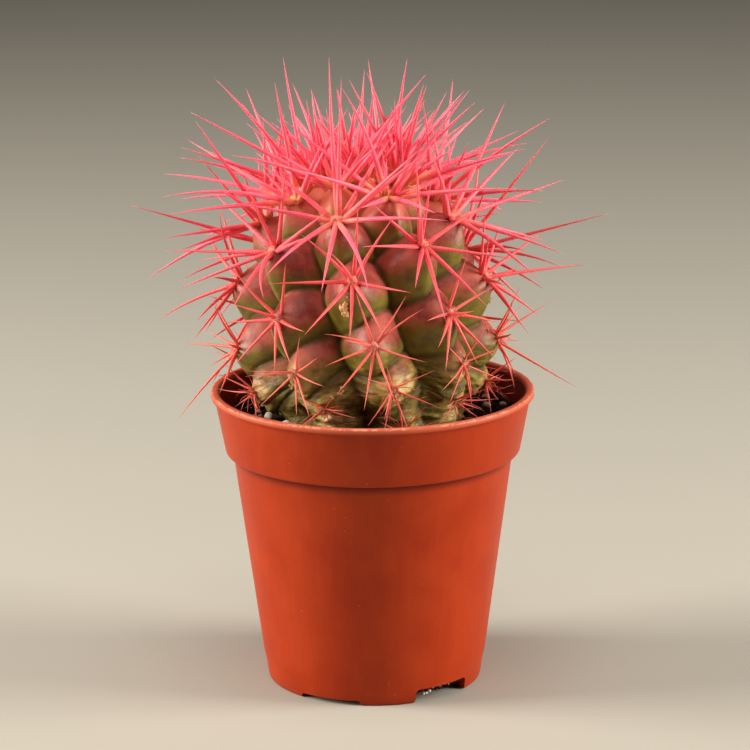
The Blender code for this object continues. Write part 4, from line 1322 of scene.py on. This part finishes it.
def make_old_spines():
    """Thin spines of the lowest areoles, weathered and tangled: any direction within a wide cone."""
    chance = np.random.default_rng(OLD_SPINE_SEED)
    numbers = np.array([number for number in grown_areoles() if number >= OLD_SPINE_FIRST])
    numbers = np.repeat(numbers, OLD_SPINES_PER_AREOLE)
    seat, out, _, _ = on_skin(numbers, *chance.normal(0.0, OLD_SPINE_SCATTER, (2, len(numbers))))
    ways = unit(out * OLD_SPINE_OUTWARD + unit(chance.normal(size=out.shape)))
    lengths = chance.uniform(*OLD_SPINE_LENGTHS, len(numbers))
    roots, ways = to_world(seat), ways @ BODY_TURN.T
    x, y, z = (roots + ways * lengths[:, None]).T
    clear = (z > soil_top(x, y)) & (np.hypot(x, y) < OLD_SPINE_REACH)
    roots, ways, lengths = roots[clear], ways[clear], lengths[clear]
    mesh = hair_mesh("old_spines", roots, ways, lengths, OLD_SPINE_RADIUS, np.ones(len(roots)), chance)
    add_piece("old_spines", mesh, old_spine_finish(), "cactus")


def make_wool():
    """Wool hairs: a tuft on each areole, splayed from its middle, and a dense matted patch on the crown."""
    chance = np.random.default_rng(HAIR_SEED)
    finish = wool_finish()
    numbers = np.repeat(grown_areoles(), HAIRS_PER_AREOLE)
    rows = numbers / STEPS_PER_ROW
    size = pad_size(rows)
    away = np.sqrt(chance.random(len(numbers))) * HAIR_SPREAD
    angle = chance.uniform(0.0, math.tau, len(numbers))
    aside, above = away * np.cos(angle), away * np.sin(angle)
    seat, out, up, right = on_skin(numbers, aside * size, above * size * PAD_TALL)
    roots = to_world(seat + out * (size * PAD_FLATNESS * HAIR_DOME * (1.0 - away**2))[:, None])
    ways = out + (right * aside[:, None] + up * above[:, None]) * HAIR_SPLAY
    ways = unit(ways + chance.normal(0.0, HAIR_SCATTER, ways.shape)) @ BODY_TURN.T
    lengths = HAIR_LENGTH * chance.uniform(*HAIR_LENGTH_RANGE, len(numbers)) * np.sqrt(size / PAD_RADIUS)
    mesh = hair_mesh("areole_hairs", roots, ways, lengths, HAIR_RADIUS, rows / OLD_ROW, chance)
    add_piece("areole_hairs", mesh, finish, "cactus")
    bearing = chance.uniform(0.0, math.tau, CROWN_HAIRS)
    arc = np.sqrt(chance.random(CROWN_HAIRS))
    place, out, _, _ = body_frame(bearing, 90.0 - CROWN_WOOL_ARC * arc)
    ways = unit(out + chance.normal(0.0, CROWN_HAIR_SCATTER, out.shape))
    lengths = chance.uniform(*CROWN_HAIR_LENGTHS, CROWN_HAIRS)
    ages = blend(*CROWN_HAIR_AGES, arc)
    roots = to_world(place - out * relief(place)[0][:, None])
    mesh = hair_mesh("crown_wool", roots, ways @ BODY_TURN.T, lengths, CROWN_HAIR_RADIUS, ages, chance)
    add_piece("crown_wool", mesh, finish, "cactus")


# Marks on the skin


def crust_finish():
    """Tan cork."""
    finish = Finish("crust")
    finish.color = finish.mix(finish.noise(0.5 * MM, 4.0), (0.58, 0.24, 0.08), (0.80, 0.50, 0.26))
    relief = finish.bump(finish.noise(0.3 * MM, 3.0), 0.08 * MM)
    return finish.finished(finish.step(finish.noise(0.4 * MM), 0.2, 0.8, 0.7, 0.9), relief)


def make_crusts():
    """A corky crust below one areole, and scraps of old felt on the low skin."""
    chance = np.random.default_rng(CRUST_SEED)
    places, sizes = [], []
    for number, aside, above, spread, tall, size, count in CRUSTS:
        side = aside + chance.normal(0.0, spread, count)
        up_by = above + chance.normal(0.0, tall, count)
        places.append(to_world(on_skin(np.full(count, number), side * MM, up_by * MM)[0]))
        sizes.append(chance.uniform(*CRUST_SIZE_RANGE, count) * size * MM)
    shapes = lumps(np.concatenate(places), np.concatenate(sizes), SMALL_LUMP, CRUST_SEED, CRUST_ROUGHNESS)
    add_piece("crusts", shells_mesh("crusts", *shapes), crust_finish(), "cactus")


# Soil


def peat_finish():
    """Nearly black damp peat."""
    finish = Finish("peat")
    clump = finish.noise(0.6 * MM, 5.0, 0.7)
    finish.color = finish.mix(clump, (0.006, 0.0035, 0.0025), (0.030, 0.015, 0.009))
    relief = finish.bump(finish.noise(0.4 * MM, 5.0, 0.7), 0.3 * MM)
    return finish.finished(0.9, relief, {"Specular IOR Level": 0.12})


def perlite_finish():
    """Chalky white grains, many of them soiled by the peat."""
    finish = Finish("perlite")
    finish.color = finish.mix(finish.noise(0.4 * MM, 4.0), (0.72, 0.62, 0.54), (0.93, 0.87, 0.80))
    soiled = finish.mix(finish.noise(0.5 * MM, 4.0), (0.05, 0.03, 0.02), (0.34, 0.26, 0.20))
    finish.paint("soiled", soiled, finish.attribute("soiled"))
    return finish.finished(0.8, finish.bump(finish.noise(0.3 * MM, 3.0), 0.08 * MM))


def lumps(places, sizes, grid, seed, roughness):
    """Rounded lumps: balls whose points move in and out by chance, flattened and turned at random.

    grid holds the number of rings of each and of their sides.
    """
    chance = np.random.default_rng(seed)
    count, (rings, sides) = len(places), grid
    polar = (np.arange(rings) + 1.0) / (rings + 1.0) * math.pi
    angle = np.arange(sides) / sides * math.tau
    ball = np.stack([
        np.sin(polar)[:, None] * np.cos(angle),
        np.sin(polar)[:, None] * np.sin(angle),
        np.broadcast_to(-np.cos(polar)[:, None], (rings, sides)),
    ], axis=-1)
    turns = np.linalg.qr(chance.normal(size=(count, 3, 3)))[0]
    turns[:, 0] *= np.linalg.det(turns)[:, None]
    stretch = chance.uniform(*LUMP_STRETCH, (count, 1, 1, 3))
    bulge = 1.0 + roughness * chance.uniform(-1.0, 1.0, (count, rings, sides, 1))
    size = np.asarray(sizes)[:, None]
    shaped = np.einsum("nij,nrsj->nrsi", turns, ball * stretch * bulge) * size[..., None, None]
    pole = np.einsum("nij,nj->ni", turns, stretch[:, 0, 0] * (0.0, 0.0, 1.0)) * size
    return places[:, None, None] + shaped, places - pole, places + pole


def grain_places():
    """Place and radius of the light grains that the soil's solid has."""
    chance = random.Random(GRAIN_SEED)
    foot = to_world(np.array([0.0, 0.0, -BODY_DROP]))
    outer = inner_radius(SOIL_LEVEL) - GRAIN_RING_MARGIN
    placed = [(x * MM, y * MM, radius * MM) for x, y, radius in GRAINS_SEEN]
    while len(placed) < GRAIN_COUNT:
        bearing = chance.uniform(0.0, math.tau)
        away = blend(GRAIN_RING_INNER, outer, chance.random())
        x, y = away * math.sin(bearing), away * math.cos(bearing)
        radius = blend(*GRAIN_SIZES, chance.random() ** GRAIN_SIZE_POWER)
        if any(math.hypot(x - a, y - b) < GRAIN_SPACING for a, b, _ in placed):
            continue
        if math.hypot(x - foot[0], y - foot[1]) < GRAIN_RING_INNER:
            continue
        placed.append((x, y, radius))
    grains = np.array(placed)
    height = soil_top(grains[:, 0], grains[:, 1]) + GRAIN_SINK * grains[:, 2]
    return np.column_stack([grains[:, :2], height]), grains[:, 2]


def make_soil():
    """The soil: a crumbly top, and sides that follow the inside of the pot."""
    outer = inner_radius(SOIL_LEVEL) - SOIL_GAP
    top_radii = np.linspace(outer, SOIL_MIDDLE, SOIL_TOP_RINGS)
    top = circle_points(top_radii, np.full(SOIL_TOP_RINGS, SOIL_LEVEL), SOIL_COLUMNS)
    crumble = rough_noise(top * (1.0, 1.0, 0.0), CRUMBLE_SIZE, octaves=4) * CRUMBLE_DEPTH
    top[..., 2] = soil_top(top[..., 0], top[..., 1]) + crumble
    collar_floor = COLLAR_BOTTOM - COLLAR_SLOPE_HEIGHT
    side = [
        (FOOT_RADIUS - WALL - SOIL_GAP, BASE_TOP + SOIL_GAP),
        (WALL_BOTTOM_RADIUS - WALL - SOIL_GAP, LEDGE_HEIGHT + WALL),
        (wall_radius(collar_floor) - WALL - SOIL_GAP, collar_floor),
        (COLLAR_BOTTOM_RADIUS - WALL - SOIL_GAP, COLLAR_BOTTOM),
    ]
    rings = np.concatenate([circle_points(*zip(*side), SOIL_COLUMNS), top])[None]
    bottom = np.array([[0.0, 0.0, BASE_TOP + SOIL_GAP]])
    middle = np.array([[0.0, 0.0, SOIL_LEVEL]])
    soil = shells_mesh("soil_body", rings, bottom, middle)
    add_piece("soil_body", soil, peat_finish(), "soil")


def make_crumbs():
    """Crumbs of peat strewn over the soil's ring, and hanging in the two deep drain notches."""
    chance = np.random.default_rng(CRUMB_SEED)
    bearing = chance.uniform(0.0, math.tau, CRUMB_COUNT)
    strewn = blend(*CRUMB_SIZES, chance.random(CRUMB_COUNT) ** CRUMB_SIZE_POWER)
    outer = inner_radius(SOIL_LEVEL) - SOIL_GAP - CRUMB_SIZES[1]
    away = np.sqrt(chance.uniform(CRUMB_RING_INNER**2, outer**2, CRUMB_COUNT))
    x, y = away * np.sin(bearing), away * np.cos(bearing)
    places = [np.column_stack([x, y, soil_top(x, y) + CRUMB_SINK * strewn])]
    sizes = [strewn]
    for angle, height in NOTCHES[:2]:
        turn = np.radians(angle + chance.uniform(-NOTCH_ARC, NOTCH_ARC, NOTCH_CRUMBS))
        away = chance.uniform(*NOTCH_CRUMB_RADII, NOTCH_CRUMBS)
        tall = chance.uniform(NOTCH_CRUMB_BOTTOM, height - NOTCH_CRUMB_GAP, NOTCH_CRUMBS)
        places.append(np.column_stack([np.sin(turn) * away, -np.cos(turn) * away, tall]))
        sizes.append(blend(*NOTCH_CRUMB_SIZES, chance.random(NOTCH_CRUMBS)))
    shapes = lumps(np.concatenate(places), np.concatenate(sizes), SMALL_LUMP, CRUMB_SEED, CRUMB_ROUGHNESS)
    add_piece("crumbs", shells_mesh("crumbs", *shapes), peat_finish(), "soil")


def make_perlite():
    """The light grains: clean where the photograph shows them, mostly soiled elsewhere, with fine dust."""
    chance = np.random.default_rng(GRAIN_SEED)
    grains, large = grain_places()
    soiled = chance.uniform(*GRAIN_SOILING, len(grains))
    soiled[:len(GRAINS_SEEN)] = 0.0
    bearing = chance.uniform(0.0, math.tau, GRAIN_DUST_COUNT)
    away = chance.uniform(*GRAIN_DUST_RING, GRAIN_DUST_COUNT)
    x, y = away * np.sin(bearing), away * np.cos(bearing)
    small = blend(*GRAIN_DUST_SIZES, chance.random(GRAIN_DUST_COUNT) ** GRAIN_SIZE_POWER)
    dust = np.column_stack([x, y, soil_top(x, y) + GRAIN_DUST_SINK * small])
    dust_soiled = chance.uniform(0.0, 1.0, GRAIN_DUST_COUNT)
    side = np.radians(np.array(NOTCH_GRAINS)[:, 0])
    away, height, lodged = (np.array(NOTCH_GRAINS)[:, 1:] * MM).T
    in_notch = np.column_stack([np.sin(side) * away, -np.cos(side) * away, height])
    places = np.concatenate([grains, dust, in_notch])
    sizes = np.concatenate([large, small, lodged])
    soiled = np.concatenate([soiled, dust_soiled, np.full(len(lodged), NOTCH_GRAIN_SOILING)])
    shapes = lumps(places, sizes, GRAIN_LUMP, GRAIN_SEED, GRAIN_ROUGHNESS)
    mesh = shells_mesh("perlite", *shapes, {"soiled": soiled[:, None]})
    add_piece("perlite", mesh, perlite_finish(), "soil")


def main():
    """The whole scene: camera, floor and lights first, then the pot, the soil and the plant."""
    make_camera()
    make_floor()
    make_lights()
    make_pot()
    make_soil()
    make_crumbs()
    make_perlite()
    make_stem()
    make_pads()
    make_wool()
    make_old_spines()
    make_crusts()
    make_spines()


main()
